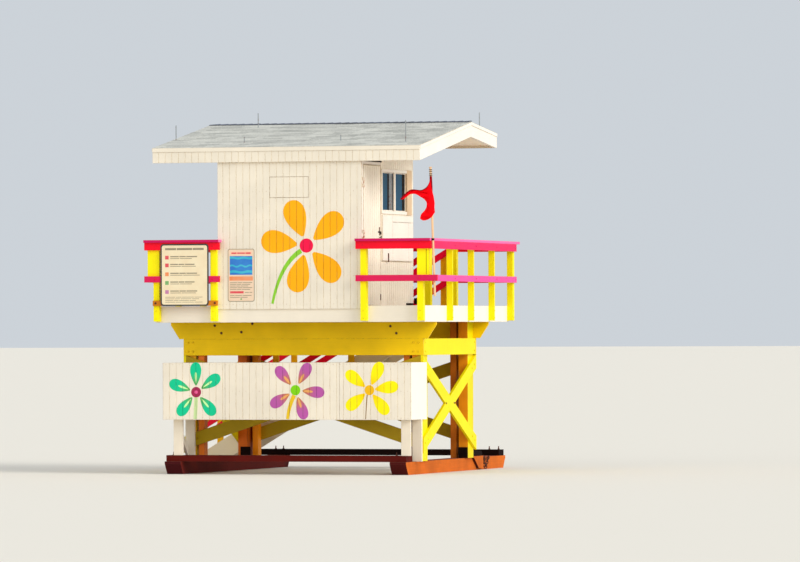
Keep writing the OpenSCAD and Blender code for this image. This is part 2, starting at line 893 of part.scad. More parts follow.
module slope_slab(x0, x1, y0, y1) {
    along_x(x0, x1)
        polygon([[y0, roof_z(y0) - roof_t], [y1, roof_z(y1) - roof_t], [y1, roof_z(y1)], [y0, roof_z(y0)]]);
}

module near_roof_slope() {
    color("#9a9a98") at_centre()
        slope_slab(-roof_left + board_t, roof_right - board_t, near_eave_y + board_t, ridge_y);
}

module far_roof_slope() {
    color("#9a9a98") at_centre()
        slope_slab(-roof_left + board_t, roof_right - board_t, ridge_y, far_eave_y - board_t);
}

// Rafters of both slopes, cut plumb against each other under the ridge
module rafter(x, y0, y1) {
    top = roof_t + joint_gap / 3;
    along_x(x, x + board_t)
        polygon([[y0, roof_z(y0) - roof_t - six_w], [y1, roof_z(y1) - roof_t - six_w],
                 [y1, roof_z(y1) - top], [y0, roof_z(y0) - top]]);
}

module rafters() {
    x0 = -roof_left + board_t + joint_gap;
    x1 = roof_right - 2 * board_t - joint_gap;
    color("#b98f5a") at_centre()
        for (k = [0 : rafter_count - 1]) {
            x = x0 + k * (x1 - x0) / (rafter_count - 1);
            rafter(x, near_eave_y + board_t, ridge_y - joint_gap / 2);
            rafter(x, ridge_y + joint_gap / 2, far_eave_y - board_t);
        }
}

module eave_boards() {
    color("#efe4c8") at_centre() {
        block([-roof_left + board_t, near_eave_y, near_eave_top - eave_h],
              [roof_right - board_t, near_eave_y + board_t, near_eave_top]);
        block([-roof_left + board_t, far_eave_y - board_t, far_eave_top - eave_h],
              [roof_right - board_t, far_eave_y, far_eave_top]);
    }
}

// A board along a roof edge from one distance to another, its top level with the roof
module edge_board(x, y0, y1, deep) {
    along_x(x, x + board_t)
        polygon([[y0, roof_z(y0) - deep], [y1, roof_z(y1) - deep], [y1, roof_z(y1)], [y0, roof_z(y0)]]);
}

module bargeboards() {
    color("#f3ead2") at_centre()
        for (x = [-roof_left, roof_right - board_t]) {
            edge_board(x, near_eave_y, ridge_y - joint_gap / 2, eave_h);
            edge_board(x, ridge_y + joint_gap / 2, far_eave_y, eave_h);
        }
}

// Boards under the rafters where the roof runs out past the hut
module soffit(x0, x1, y0, y1) {
    z = roof_t + six_w;
    along_x(x0, x1)
        polygon([[y0, roof_z(y0) - z - soffit_t], [y1, roof_z(y1) - z - soffit_t],
                 [y1, roof_z(y1) - z], [y0, roof_z(y0) - z]]);
}

module soffits() {
    spans = [[-roof_left + board_t, hut_left - casing_t - joint_gap],
             [hut_right + casing_t + joint_gap, roof_right - board_t]];
    color("#c9a878") at_centre()
        for (span = spans) {
            soffit(span[0], span[1], near_eave_y + board_t, ridge_y - joint_gap / 2);
            soffit(span[0], span[1], ridge_y + joint_gap / 2, far_eave_y - board_t);
        }
}

module roof_rod(x, y, height) {
    translate([x, y, roof_z(y) + rod_r * max(near_slope, far_slope)])
        cylinder(r = rod_r, h = height, $fn = 24);
}

// The rods' places, as shares of the roof's width and run, with their heights
module roof_rods() {
    edge = board_t + rod_inset;
    wide = roof_left + roof_right;
    run = far_eave_y - near_eave_y;
    color("#6f6f70") at_centre() {
        for (rod = [[0.921, 0.092, tall_rod], [0.218, 0.560, high_rod], [0.304, 0.131, low_rod],
                    [0.663, 0.144, low_rod]])
            roof_rod(-roof_left + rod[0] * wide, near_eave_y + rod[1] * run, rod[2]);
        roof_rod(roof_right - edge, near_eave_y + 0.820 * run, high_rod);
        roof_rod(-roof_left + edge, near_eave_y + 0.222 * run, high_rod);
    }
}

locker_right = half_frame + locker_t;
locker_left = locker_right - locker_w;
locker_near = -locker_reach;
locker_back_y = frame_near - 10;

module locker_front() {
    g = 3;
    xs = [locker_left, locker_left + seam_left, locker_right - seam_right, locker_right];
    color("#f3ead2") at_centre()
        for (k = [0 : 2])
            block([xs[k] + (k > 0 ? g / 2 : 0), locker_near, locker_z],
                  [xs[k + 1] - (k < 2 ? g / 2 : 0), locker_near + locker_t, locker_z + locker_h]);
}

module locker_back() {
    color("#f3ead2") at_centre()
        block([locker_left + locker_t, locker_back_y - locker_t, locker_z],
              [locker_right - locker_t, locker_back_y, locker_z + locker_h - locker_t]);
}

module locker_ends() {
    end_y = frame_near + 110;
    color("#fffdf6") at_centre() {
        block([locker_left, locker_near + locker_t, locker_z],
              [locker_left + locker_t, locker_back_y, locker_z + locker_h]);
        block([locker_right - locker_t, locker_near + locker_t, locker_z],
              [locker_right, end_y, locker_z + locker_h]);
    }
}

module locker_lid() {
    color("#f3ead2") at_centre()
        block([locker_left + locker_t, locker_near + locker_t, locker_z + locker_h - locker_t],
              [locker_right - locker_t, locker_back_y, locker_z + locker_h]);
}

module locker_floor() {
    color("#f3ead2") at_centre()
        block([locker_left + locker_t, locker_near + locker_t, locker_z],
              [locker_right - locker_t, locker_back_y - locker_t, locker_z + locker_t]);
}

module locker_legs() {
    front_y = cross_near_y + 10;
    brace_h = 120;
    color("#f5ead8") at_centre() {
        for (x = [locker_left + leg_inset, locker_right - leg_step - six_w]) {
            block([x, front_y, skid_h + cross_h], [x + six_w, front_y + board_t, locker_z]);
            block([x + leg_step, rear_leg_y, skid_h], [x + leg_step + six_w, rear_leg_y + board_t, locker_z]);
        }
        x = locker_left + leg_inset + leg_step + 10;
        y0 = front_y + board_t + joint_gap;
        y1 = rear_leg_y - joint_gap;
        along_x(x, x + board_t)
            polygon([[y0, locker_z - four_w], [y0, locker_z - four_w - brace_h],
                     [y1, skid_h + brace_h / 2], [y1, skid_h + brace_h * 3 / 2]]);
    }
}

module flag_pole() {
    y = -four_w + pole_d / 2 + joint_gap;
    color("#d9a066") at_centre() translate([pole_x(0), y, pole_foot])
        rotate([0, -atan(pole_slope), 0]) {
            cylinder(d = pole_d, h = pole_l, $fn = 48);
            translate([0, 0, pole_l]) cylinder(d = pole_d + 10, h = 14, $fn = 48);
        }
}

// The flag as a closed panel: a hoist strip down the pole, an upper tail and a short lower lobe
module flag() {
    y = -four_w + pole_d / 2 - flag_t / 2;
    top = flag_top - pole_foot;
    foot = top - flag_hoist;
    edge_top = pole_x(top) - pole_d / 2 - 1;
    edge_foot = pole_x(foot) - pole_d / 2 - 1;
    z = pole_foot;
    bay = flag_hoist * 0.33;
    color("#e21218") at_centre() along_y(y, y + flag_t)
        difference() {
            polygon([[edge_top, z + top], [edge_foot, z + foot], [edge_foot - flag_lobe, z + foot],
                     [edge_foot - flag_lobe, z + foot + 70], [edge_top - flag_tail, z + top - bay],
                     [edge_top - flag_tail, z + top - bay / 2],
                     [edge_top - flag_tail * 0.75, z + top - bay / 3]]);
            translate([edge_foot - flag_lobe * 1.15, z + foot + 70 + bay * 0.85])
                circle(r = bay * 0.85, $fn = 48);
        }
}

module rail_sign() {
    x0 = -half_deck + sign_inset;
    z0 = deck_top + sign_rise;
    color("#e9e4d8") at_centre()
        block([x0, -rail_out - sign_t, z0], [x0 + sign_w, -rail_out, z0 + sign_h]);
}

module wall_sign() {
    x0 = hut_left + notice_inset;
    z0 = deck_top + notice_rise;
    color("#b9d3dc") at_centre()
        block([x0, -panel_t - sign_t, z0], [x0 + notice_w, -panel_t, z0 + notice_h]);
}

left_skid();
right_skid();
near_cross_timber();
far_cross_timber();
near_left_posts();
near_right_posts();
far_left_posts();
far_right_posts();
near_lower_beam();
far_lower_beam();
side_lower_beams();
near_girder();
far_girder();
near_cross_brace();
far_cross_brace();
left_cross_brace();
right_cross_brace();
deck_joists();
deck_floor();
deck_fascias();
stair_stringers();
stair_treads();
stair_rails();
stair_posts();
rail_posts();
near_rails();
left_rails();
right_rails();
far_rails();
rail_caps();
near_wall();
far_wall();
left_wall();
right_wall();
door_side_walls();
door_leaf();
door_handle();
door_hinge_leaves();
frame_hinge_leaves();
window_casings();
window_glass();
drop_flap();
vent_hatch();
near_roof_slope();
far_roof_slope();
rafters();
eave_boards();
bargeboards();
soffits();
roof_rods();
locker_front();
locker_back();
locker_ends();
locker_lid();
locker_floor();
locker_legs();
flag_pole();
flag();
rail_sign();
wall_sign();
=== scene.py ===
import math
from functools import partial

import bmesh
import bpy
from mathutils import Matrix, Vector


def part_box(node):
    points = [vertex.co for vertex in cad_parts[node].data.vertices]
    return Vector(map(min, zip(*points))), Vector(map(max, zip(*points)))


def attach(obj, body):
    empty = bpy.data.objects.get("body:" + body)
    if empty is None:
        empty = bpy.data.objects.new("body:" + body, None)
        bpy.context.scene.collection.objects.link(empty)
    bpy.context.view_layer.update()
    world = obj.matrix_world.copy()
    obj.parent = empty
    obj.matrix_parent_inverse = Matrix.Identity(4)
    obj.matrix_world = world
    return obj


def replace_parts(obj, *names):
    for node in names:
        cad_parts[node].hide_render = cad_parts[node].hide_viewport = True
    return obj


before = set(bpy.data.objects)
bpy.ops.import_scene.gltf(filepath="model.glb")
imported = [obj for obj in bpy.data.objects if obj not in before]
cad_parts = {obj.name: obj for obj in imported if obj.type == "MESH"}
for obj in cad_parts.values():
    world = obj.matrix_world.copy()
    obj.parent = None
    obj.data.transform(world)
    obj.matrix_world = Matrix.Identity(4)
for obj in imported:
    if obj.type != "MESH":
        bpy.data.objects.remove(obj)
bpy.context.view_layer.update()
scene = bpy.context.scene

# Places below are in mm: x from the deck's middle, y from its near edge, z from the ground.
deck_low, deck_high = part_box("deck_fascias")
DECK_MIDDLE, DECK_NEAR = (deck_low.x + deck_high.x) / 2, deck_low.y
X, Y, Z = Vector((1, 0, 0)), Vector((0, 1, 0)), Vector((0, 0, 1))


def at(x, y, z):
    """A place in mm from the deck's middle, its near edge and the ground, in the frame's metres."""
    return Vector((DECK_MIDDLE + x / 1000, DECK_NEAR + y / 1000, z / 1000))


def span(name):
    """A node's lowest and highest corners in the same mm."""
    return [Vector(((c.x - DECK_MIDDLE) * 1000, (c.y - DECK_NEAR) * 1000, c.z * 1000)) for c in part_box(name)]


def basis(place, along, up=Z):
    """The matrix that lays local x along one direction and local y along another, from a place in mm."""
    axes = Matrix((along.normalized(), up.normalized(), along.cross(up).normalized()))
    return Matrix.Translation(at(*place)) @ axes.transposed().to_4x4()


def placed(name, data):
    """A new object in the scene."""
    made = bpy.data.objects.new(name, data)
    scene.collection.objects.link(made)
    return made


# Camera
CAMERA_PLACE, SENSOR, FOCAL = (28430, -84880, 2090), 36, 280.4
PAN, TILT, ROLL = math.radians(17.5), math.radians(90.44), math.radians(-0.19)
lens = bpy.data.cameras.new("long_lens")
lens.sensor_width = SENSOR
lens.lens = FOCAL
lens.clip_end = 1500
scene.camera = placed("beach_view", lens)
scene.camera.matrix_world = (Matrix.Translation(at(*CAMERA_PLACE)) @ Matrix.Rotation(PAN, 4, "Z")
                             @ Matrix.Rotation(TILT, 4, "X") @ Matrix.Rotation(ROLL, 4, "Z"))

# Materials
PREFIXES = ("ShaderNode", "GeometryNode", "FunctionNode", "")


def rgb(code):
    """An sRGB hex colour as linear RGBA."""
    parts = [int(code[i:i + 2], 16) / 255 for i in (1, 3, 5)]
    return tuple(c / 12.92 if c <= 0.04045 else ((c + 0.055) / 1.055) ** 2.4 for c in parts) + (1.0,)


def add(tree, kind, *values, **settings):
    """Adds one node, gives it its settings, and sets or links its inputs. The kind comes without its prefix
    and with any operation after a space. Values fill the inputs in use in order, and a last dictionary fills
    them by name. A node stands for its first output in use, and a hex colour for its linear one."""
    kind, _, operation = kind.partition(" ")
    made = tree.nodes.new(next(prefix + kind for prefix in PREFIXES if hasattr(bpy.types, prefix + kind)))
    if operation:
        made.operation = operation
    for key, value in settings.items():
        setattr(made, key, value)
    named = values[-1] if values and isinstance(values[-1], dict) else {}
    pairs = list(zip([socket for socket in made.inputs if socket.enabled], values[:-1] if named else values))
    for socket, value in pairs + [(made.inputs[key], value) for key, value in named.items()]:
        if isinstance(value, bpy.types.Node):
            value = next(output for output in value.outputs if output.enabled)
        if isinstance(value, bpy.types.NodeSocket):
            tree.links.new(value, socket)
        else:
            socket.default_value = rgb(value) if isinstance(value, str) and value.startswith("#") else value
    return made


def material(name, surface, *choices):
    """A material whose shader gets its inputs from one of the surfaces below."""
    made = bpy.data.materials.new(name)
    made.use_nodes = True
    made.node_tree.nodes.clear()
    new = partial(add, made.node_tree)
    new("OutputMaterial", new("BsdfPrincipled", surface(new, new("TexCoord").outputs["Object"], *choices)))
    return made


# How squarely a face looks along an axis to get its other colour, mostly painted light, and how far the inner
# leg posts reach in mm
SQUARE_ON, INNER_POSTS = 0.7, 1628


def facing(new, axis, both=True):
    """1 on faces that look along an axis, either way or only its own."""
    normal = new("SeparateXYZ", new("NewGeometry").outputs["Normal"]).outputs[axis]
    return new("Math GREATER_THAN", new("Math ABSOLUTE", normal) if both else normal, SQUARE_ON)


def by_face(top=None, side=None, inner=None):
    """Another colour on faces that look up or along x, or on the inner leg posts: mostly painted light and
    shade.
    """
    def choose(new, spot, coat):
        colour, mask = rgb(coat), facing(new, 0)
        if inner:
            away = new("SeparateXYZ", new("VectorMath ADD", spot, (-DECK_MIDDLE, 0, 0)))
            near = new("Math COMPARE", away, 0.0, INNER_POSTS / 1000)
            colour = new("Mix", near, colour, inner, data_type="RGBA")
            mask = new("Math SUBTRACT", mask, near, use_clamp=True)
        if side:
            colour = new("Mix", mask, colour, side, data_type="RGBA")
        if top:
            colour = new("Mix", facing(new, 2, both=False), colour, top, data_type="RGBA")
        return colour
    return choose


def by_height(level, upper, lower, axis=0):
    """One colour above a height in mm and another below it, on faces that look along an axis."""
    def choose(new, spot, coat):
        over = new("Math GREATER_THAN", new("SeparateXYZ", spot).outputs[2], level / 1000)
        banded = new("Mix", over, lower, upper, data_type="RGBA")
        return new("Mix", facing(new, axis), coat, banded, data_type="RGBA")
    return choose


def from_centre(centre, near, far, base):
    """Paint that runs from a base colour near a flower's centre to the coat's own, between two radii in mm."""
    def choose(new, spot, coat):
        reach = new("VectorMath DISTANCE", spot, at(centre[0], -64, centre[1]))
        share = new("MapRange", reach, near / 1000, far / 1000, interpolation_type="SMOOTHSTEP")
        return new("Mix", share, base, coat, data_type="RGBA")
    return choose


def stretched(new, spot, grain, fine, long):
    """Coordinates drawn out along the grain, for noise of the given sizes in mm."""
    scale = [1000 / fine] * 3
    scale["XYZ".index(grain)] = 1000 / long
    return new("Mapping", spot, {"Scale": scale})


def painted_timber(new, spot, coat, bare, grain, worn, mottle, pick=None, rough=0.5, relief=0.5):
    """Exterior paint brushed on sawn timber: grain under it, uneven tone, and bare wood at rubbed edges."""
    fibres = new("TexNoise", stretched(new, spot, grain, fine=14, long=420), 1.0, 4.0, 0.6)
    cloudy = new("TexNoise", spot, 1000 / 450, 3.0, 0.55)
    flecks = new("TexNoise", stretched(new, spot, grain, fine=22, long=90), 1.0, 3.0, 0.65)
    shade = new("MapRange", cloudy, 0.3, 0.7, 1 - mottle, 1 + mottle / 2)
    streak = new("MapRange", fibres, 0.3, 0.7, 1 - mottle / 2, 1.0)
    coated = new("VectorMath SCALE", pick(new, spot, coat) if pick else rgb(coat)[:3],
                 new("Math MULTIPLY", shade, streak))
    soft = new("Bevel", 0.006, samples=4)
    turn = new("VectorMath DOT_PRODUCT", soft, new("NewGeometry").outputs["Normal"])
    chance = new("Math ADD", flecks, new("MapRange", turn, 0.995, 0.8, 0.0, 0.34))
    mask = new("MapRange", chance, 0.80 - 0.2 * worn, 0.86 - 0.2 * worn, 0.0, 1.0)
    height = new("Math SUBTRACT", fibres, mask)
    return {"Base Color": new("Mix", mask, coated, bare, data_type="RGBA"),
            "Roughness": new("MapRange", mask, 0.0, 1.0, rough, 0.85), "Specular IOR Level": 0.15,
            "Normal": new("Bump", {"Strength": relief, "Distance": 0.0012, "Height": height, "Normal": soft})}


def asphalt_shingle(new, spot, pale, dark):
    """Mineral granules on asphalt felt: matt, speckled, a tone for each tab. Granules are drawn at 9 mm."""
    granule = new("TexVoronoi", spot, 1000 / 9)
    cloudy = new("TexNoise", spot, 1000 / 350, 4.0)
    grey = new("SeparateColor", granule.outputs["Color"])
    tab = new("Attribute", attribute_name="tone").outputs["Fac"]
    whole = new("Math MULTIPLY_ADD", tab, 0.5, new("Math MULTIPLY_ADD", grey, 0.45, cloudy))
    return {"Base Color": new("Mix", new("MapRange", whole, 0.5, 1.25), dark, pale, data_type="RGBA"),
            "Roughness": 0.92, "Normal": new("Bump", {"Strength": 0.6, "Distance": 0.002, "Height": granule})}


def weathered_steel(new, spot, clean, rust, amount):
    """Galvanised steel in sea air: dull zinc with rust that grows in patches."""
    patch = new("TexNoise", spot, 1000 / 30, 5.0, 0.7)
    mask = new("MapRange", patch, 0.62 - amount / 3, 0.70 - amount / 3)
    return {"Base Color": new("Mix", mask, clean, rust, data_type="RGBA"),
            "Roughness": new("MapRange", mask, 0.0, 1.0, 0.42, 0.9),
            "Metallic": new("MapRange", mask, 0.0, 1.0, 0.9, 0.0),
            "Normal": new("Bump", {"Strength": 0.4, "Distance": 0.0008, "Height": patch})}


def tinted_glass(new, spot, deep, haze):
    """Float glass with salt haze: dark and glossy, dulled in faint clouds."""
    salt = new("TexNoise", spot, 1000 / 260, 4.0)
    return {"Base Color": new("Mix", salt, deep, haze, data_type="RGBA"),
            "Roughness": new("MapRange", salt, 0.3, 0.7, 0.03, 0.16), "IOR": 1.15, "Specular IOR Level": 0.3}


def sign_enamel(new, spot, coat, faded):
    """Enamel on sheet metal: smooth, slightly glossy, bleached in soft patches."""
    bleach = new("TexNoise", spot, 1000 / 160, 4.0)
    share = new("MapRange", bleach, 0.4, 0.75, 0.0, 0.8)
    return {"Base Color": new("Mix", share, coat, faded, data_type="RGBA"),
            "Roughness": new("MapRange", bleach, 0.0, 1.0, 0.25, 0.5)}


def woven_nylon(new, spot, coat, shaded, hem):
    """Flag nylon: a plain weave, drawn at 4 mm to show, darker along the edge at the pole and along the top to
    the tail.
    """
    weft = new("UVMap")
    check = new("TexChecker", new("Mapping", weft, {"Scale": (1000 / 4, 1000 / 4, 1.0)}), {"Scale": 1.0})
    share = new("MapRange", new("TexNoise", weft, 1000 / 120, 3.0), 0.3, 0.7, 0.0, 0.6)
    across, along, _ = new("SeparateXYZ", weft).outputs
    edge = new("Math MAXIMUM", new("Math LESS_THAN", across, 0.016), new("Math GREATER_THAN", along, 0.482))
    cloth_colour = new("Mix", share, coat, shaded, data_type="RGBA")
    return {"Base Color": new("Mix", edge, cloth_colour, hem, data_type="RGBA"),
            "Roughness": 0.8, "Specular IOR Level": 0.08,
            "Normal": new("Bump", {"Strength": 0.2, "Distance": 0.0006, "Height": check.outputs["Fac"]})}


def studio_paper(new, spot, coat):
    """Matt background paper, smooth and even."""
    return {"Base Color": coat, "Roughness": 0.9}


# Each paint: name, coat, bare wood, grain, wear, mottle, then any colour by face or height (mostly painted
# light), roughness and relief
WALL_CENTRE, MINT_CENTRE, MAUVE_CENTRE, YELLOW_CENTRE = (267, 3290), (-1400, 1187), (109, 1215), (1224, 1215)
PINE, WEAR, SALTED = "#b08a58", (0.5, 0.22), (0.75, 0.9)
PAINTS = {
    # Whites and creams, lighter on faces that look along x as painted light
    "white_front_x": ("white_acrylic_on_trim", "#ebe1cf", PINE, "X", 0.1, 0.06, by_face(side="#f4eee2")),
    "white_siding_z": ("white_acrylic_on_siding", "#eae0ce", PINE, "Z", 0.1, 0.07, by_face(side="#f8f0de")),
    # Darker cream under the siding, seen in its grooves: painted shade
    "groove_shadow": ("thin_paint_in_grooves", "#e6d8be", PINE, "Z", 0.3, 0.12),
    "white_y": ("white_acrylic_on_side_trim", "#f4eee2", PINE, "Y", 0.1, 0.05),
    "white_stringer": ("cream_paint_on_stringers", "#f0e2c4", PINE, "Y", 0.2, 0.08),
    "white_leg": ("white_acrylic_on_legs", "#e8dcc8", PINE, "Z", 0.2, 0.08, by_face(side="#fdf4e4")),
    # Tan for the sheet beside the right window: painted shade in its recess
    "shaded_board": ("tan_paint_on_window_board", "#dcc09c", PINE, "Z", 0.1, 0.1),
    "soffit": ("tan_paint_on_soffit", "#fff2d6", PINE, "Y", 0.1, 0.08),
    # Yellows: lemon on sides and rail posts; the golden beams and stair posts and the dull braces are painted
    # shade
    "yellow_x": ("golden_yellow_on_beams", "#ffd400", "#8a6420", "X", 0.2, 0.10),
    "yellow_y": ("lemon_yellow_on_side_beams", "#f8e400", "#9a7a20", "Y", 0.2, 0.06),
    "yellow_z": ("lemon_yellow_on_rail_posts", "#fff000", "#b0882c", "Z", 0.25, 0.05),
    "brace_x": ("shaded_yellow_on_braces", "#b89a10", "#7a5a20", "X", 0.25, 0.14),
    "golden_z": ("golden_paint_on_stair_posts", "#fcc000", "#b0882c", "Z", 0.25, 0.06),
    # Leg posts: orange to the beach and yellow on the outer sides; each group's orange and the inner and far
    # left sides' colours are painted light and shade
    "orange_z": ("orange_on_leg_posts", "#ff9a10", "#7c4a22", "Z", 0.3, 0.14,
                 by_face(side="#f8e400", inner="#c86c14")),
    "near_left_z": ("orange_on_near_left_posts", "#ffbc10", "#7c4a22", "Z", 0.3, 0.14,
                    by_face(side="#f8e400", inner="#f08028")),
    "far_left_z": ("orange_on_far_left_posts", "#e06a10", "#7c4a22", "Z", 0.3, 0.14,
                   by_face(side="#b85a10", inner="#ff9c14")),
    # Rails: crimson to the beach; the pink on tops, cap sides and side rails is painted light, with another tone
    # below 3100 mm
    "cap_y": ("pink_on_rail_caps", "#cc105c", "#a05c66", "Y", 0.15, 0.08,
              by_face(top="#f88cc8", side="#fa6cac")),
    "red_x": ("crimson_on_near_rails", "#f80034", "#8d4a3a", "X", 0.15, 0.08, by_face(top="#f060b0")),
    "rail_x": ("crimson_on_long_rails", "#f80028", "#8d4a3a", "X", 0.15, 0.08,
               by_height(3100, "#fc0028", "#dc1a54", 1)),
    "pink_y": ("hot_pink_on_side_rails", "#e0207a", "#a05c66", "Y", 0.15, 0.08,
               by_height(3100, "#f01a60", "#f850a0")),
    # Skids and the timbers between them: chalky oxblood rubbed bare in streaks; lighter tops, the orange side
    # and the near-black are painted light and shade
    "maroon_y": ("oxblood_on_skids", "#4a0804", "#5f4a3a", "Y", *WEAR,
                 by_face(side="#d46a1c", top="#a05038"), *SALTED),
    "maroon_dark": ("oxblood_in_shade", "#44040a", "#5f4a3a", "Y", *WEAR,
                    by_face(side="#6a1a10", top="#8a4030"), *SALTED),
    "maroon_x": ("oxblood_on_cross_timber", "#5a0c02", "#4e3a30", "X", *WEAR, None, *SALTED),
    "tarred_x": ("tarred_timber", "#140200", "#2e1a14", "X", 0.2, 0.25, None, 0.9, 0.9),
    # Timber with stain or oil, or left to weather
    "stained_pine": ("stained_pine_batten", "#d8801c", "#8d5a2c", "X", 0.3, 0.25, None, 0.7),
    "joist": ("treated_pine_joists", "#b58c4a", "#8d6c3a", "Y", 0.6, 0.2, None, 0.8),
    "board": ("weathered_deck_boards", "#b8a684", "#8d7f68", "X", 0.6, 0.25, None, 0.85, 0.9),
    "pole": ("oiled_ash_pole", "#ecc094", "#b98250", "Z", 0.3, 0.10, None, 0.45, 0.3),
}
MATERIALS = {key: material(name, painted_timber, *row) for key, (name, *row) in PAINTS.items()}
# Flower paint: coat, rubbed tone, mottle and any shade near the flower's centre
PETALS = {
    "petal_orange": ("#fdae06", "#f0c060", 0.04),
    "petal_rose": ("#f01048", "#d06070", 0.05),
    "petal_leaf": ("#8acb34", "#b0c870", 0.06),
    "petal_mint": ("#0cc690", "#80c8a8", 0.06, from_centre(MINT_CENTRE, 90, 300, "#58a850")),
    "petal_mauve": ("#b858a4", "#c8a0b8", 0.06, from_centre(MAUVE_CENTRE, 100, 340, "#c87830")),
    "petal_yellow": ("#ffee00", "#e8dc70", 0.05, from_centre(YELLOW_CENTRE, 60, 260, "#ffcc00")),
    "petal_pink": ("#f0609a", "#d08098", 0.05),
    "petal_wine": ("#a02850", "#b06070", 0.05),
    "petal_lime": ("#7ed010", "#a0d050", 0.05),
    "petal_gold": ("#f0b810", "#e0c060", 0.05),
    "rib_mint": ("#c8f8a8", "#b0d8b8", 0.06),
    "rib_peach": ("#e8a860", "#d0a880", 0.06),
    "stem_pale": ("#c8e0a0", "#c8d0a8", 0.06),
    "stem_gold": ("#e8c020", "#d8c070", 0.06),
    "stem_brown": ("#8a6020", "#a08050", 0.06),
}
for key, (coat, rubbed, *rest) in PETALS.items():
    MATERIALS[key] = material(key + "_paint", painted_timber, coat, rubbed, "Z", 0.02, *rest)
OTHERS = {
    asphalt_shingle: {"shingle": ("grey_mineral_shingle", "#d2d2cb", "#a0a19c"),
                      # The ridge caps' dark grey-blue is painted shade along the ridge
                      "ridge_shingle": ("slate_blue_ridge_caps", "#6a7080", "#50545e")},
    weathered_steel: {"rod": ("galvanised_roof_rod", "#9aa0a2", "#7a4a30", 0.25),
                      "hinge": ("painted_hinge_steel", "#e6dccb", "#b86a40", 0.3),
                      "bolt": ("rusted_bolt_steel", "#4a3a30", "#5c2a16", 0.6),
                      "nail": ("painted_over_nails", "#cfc0a4", "#a8744a", 0.35),
                      "black_iron": ("black_iron", "#22201e", "#4a2a1c", 0.1)},
    tinted_glass: {"glass": ("blue_window_glass", "#0c3a5c", "#125068"),
                   "glass_shade": ("shaded_window_glass", "#060c12", "#0a1420")},
    sign_enamel: {"sign_white": ("cream_sign_enamel", "#ecdcb8", "#e6cfa8"),
                  "sign_pale": ("pale_sign_enamel", "#e8ccb0", "#dcc0a4"),
                  "sign_black": ("black_sign_border", "#2b2725", "#4a4440"),
                  "sign_grey": ("grey_sign_print", "#8a8068", "#a09478"),
                  "sign_blue": ("blue_sign_print", "#0f6cc4", "#2a8ad2"),
                  "sign_cyan": ("cyan_sign_print", "#16a8c8", "#48bcd2"),
                  "sign_orange": ("orange_sign_print", "#e8844a", "#e8a27a"),
                  "sign_green": ("green_sign_print", "#6aa45a", "#96bc88"),
                  "sign_violet": ("violet_sign_print", "#b86a9a", "#c892b2"),
                  "sign_peach": ("peach_sign_print", "#f2c0a0", "#f0cdb6"),
                  "sign_red": ("red_sign_print", "#d8404a", "#dc7070")},
    woven_nylon: {"flag": ("red_flag_nylon", "#ff0010", "#dc000e", "#8c0414")},
    studio_paper: {"paper": ("studio_floor", "#ebe5d9")},
}
for surface, rows in OTHERS.items():
    MATERIALS |= {key: material(name, surface, *row) for key, (name, *row) in rows.items()}

NODE_FINISH = {
    "maroon_y": "right_skid",
    "maroon_dark": "left_skid",
    "maroon_x": "near_cross_timber",
    "tarred_x": "far_cross_timber",
    "near_left_z": "near_left_posts",
    "far_left_z": "far_left_posts",
    "orange_z": "near_right_posts far_right_posts",
    "yellow_x": "near_lower_beam far_lower_beam near_girder far_girder",
    "yellow_y": "side_lower_beams left_cross_brace right_cross_brace",
    "brace_x": "near_cross_brace far_cross_brace",
    "joist": "deck_joists rafters",
    "board": "deck_floor stair_treads",
    "white_front_x": "deck_fascias locker_lid locker_floor window_casings drop_flap",
    "groove_shadow": "near_wall far_wall left_wall right_wall vent_hatch eave_boards "
                     "locker_front locker_back door_leaf",
    "white_y": "door_side_walls bargeboards locker_ends",
    "white_leg": "locker_legs",
    "red_x": "stair_rails",
    "rail_x": "near_rails far_rails",
    "white_stringer": "stair_stringers",
    "pink_y": "left_rails right_rails",
    "cap_y": "rail_caps",
    "yellow_z": "rail_posts",
    "golden_z": "stair_posts",
    "hinge": "door_hinge_leaves frame_hinge_leaves",
    "black_iron": "door_handle",
    "glass": "window_glass",
    "shingle": "near_roof_slope far_roof_slope",
    "soffit": "soffits",
    "rod": "roof_rods",
    "pole": "flag_pole",
}
for finish, names in NODE_FINISH.items():
    for name in names.split():
        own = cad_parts[name].data.materials
        own.clear()
        own.append(MATERIALS[finish])


# Growing repeats
def new_tree(name, lengths, counts=""):
    """An empty geometry tree, its way to add nodes, and its inputs by name: points, finish, lengths, counts."""
    tree = bpy.data.node_groups.new(name, "GeometryNodeTree")
    tree.interface.new_socket("Geometry", in_out="OUTPUT", socket_type="NodeSocketGeometry")
    for kind, labels in (("Geometry", "Points"), ("Material", "Finish"), ("Float", lengths), ("Int", counts)):
        for label in labels.split():
            tree.interface.new_socket(label, in_out="INPUT", socket_type="NodeSocket" + kind)
    new = partial(add, tree)
    return tree, new, new("NodeGroupInput").outputs


def repeated(tree, new, given, points, instance, seed=None, trim=None, **turn):
    """Puts a copy on every point, makes them one mesh, trims it and coats it. A seed gives each its tone."""
    many = new("InstanceOnPoints", {"Points": points, "Instance": instance, **turn})
    if seed is not None:
        luck = new("RandomValue", {"Seed": seed}, data_type="FLOAT")
        many = new("StoreNamedAttribute", {"Geometry": many, "Name": "tone", "Value": luck}, data_type="FLOAT",
                   domain="INSTANCE")
    whole = new("RealizeInstances", many)
    if trim:
        whole = new("SetPosition", {"Geometry": whole, "Position": trim})
    new("NodeGroupOutput", new("SetMaterial", {"Geometry": whole, "Material": given["Finish"]}))
    return tree


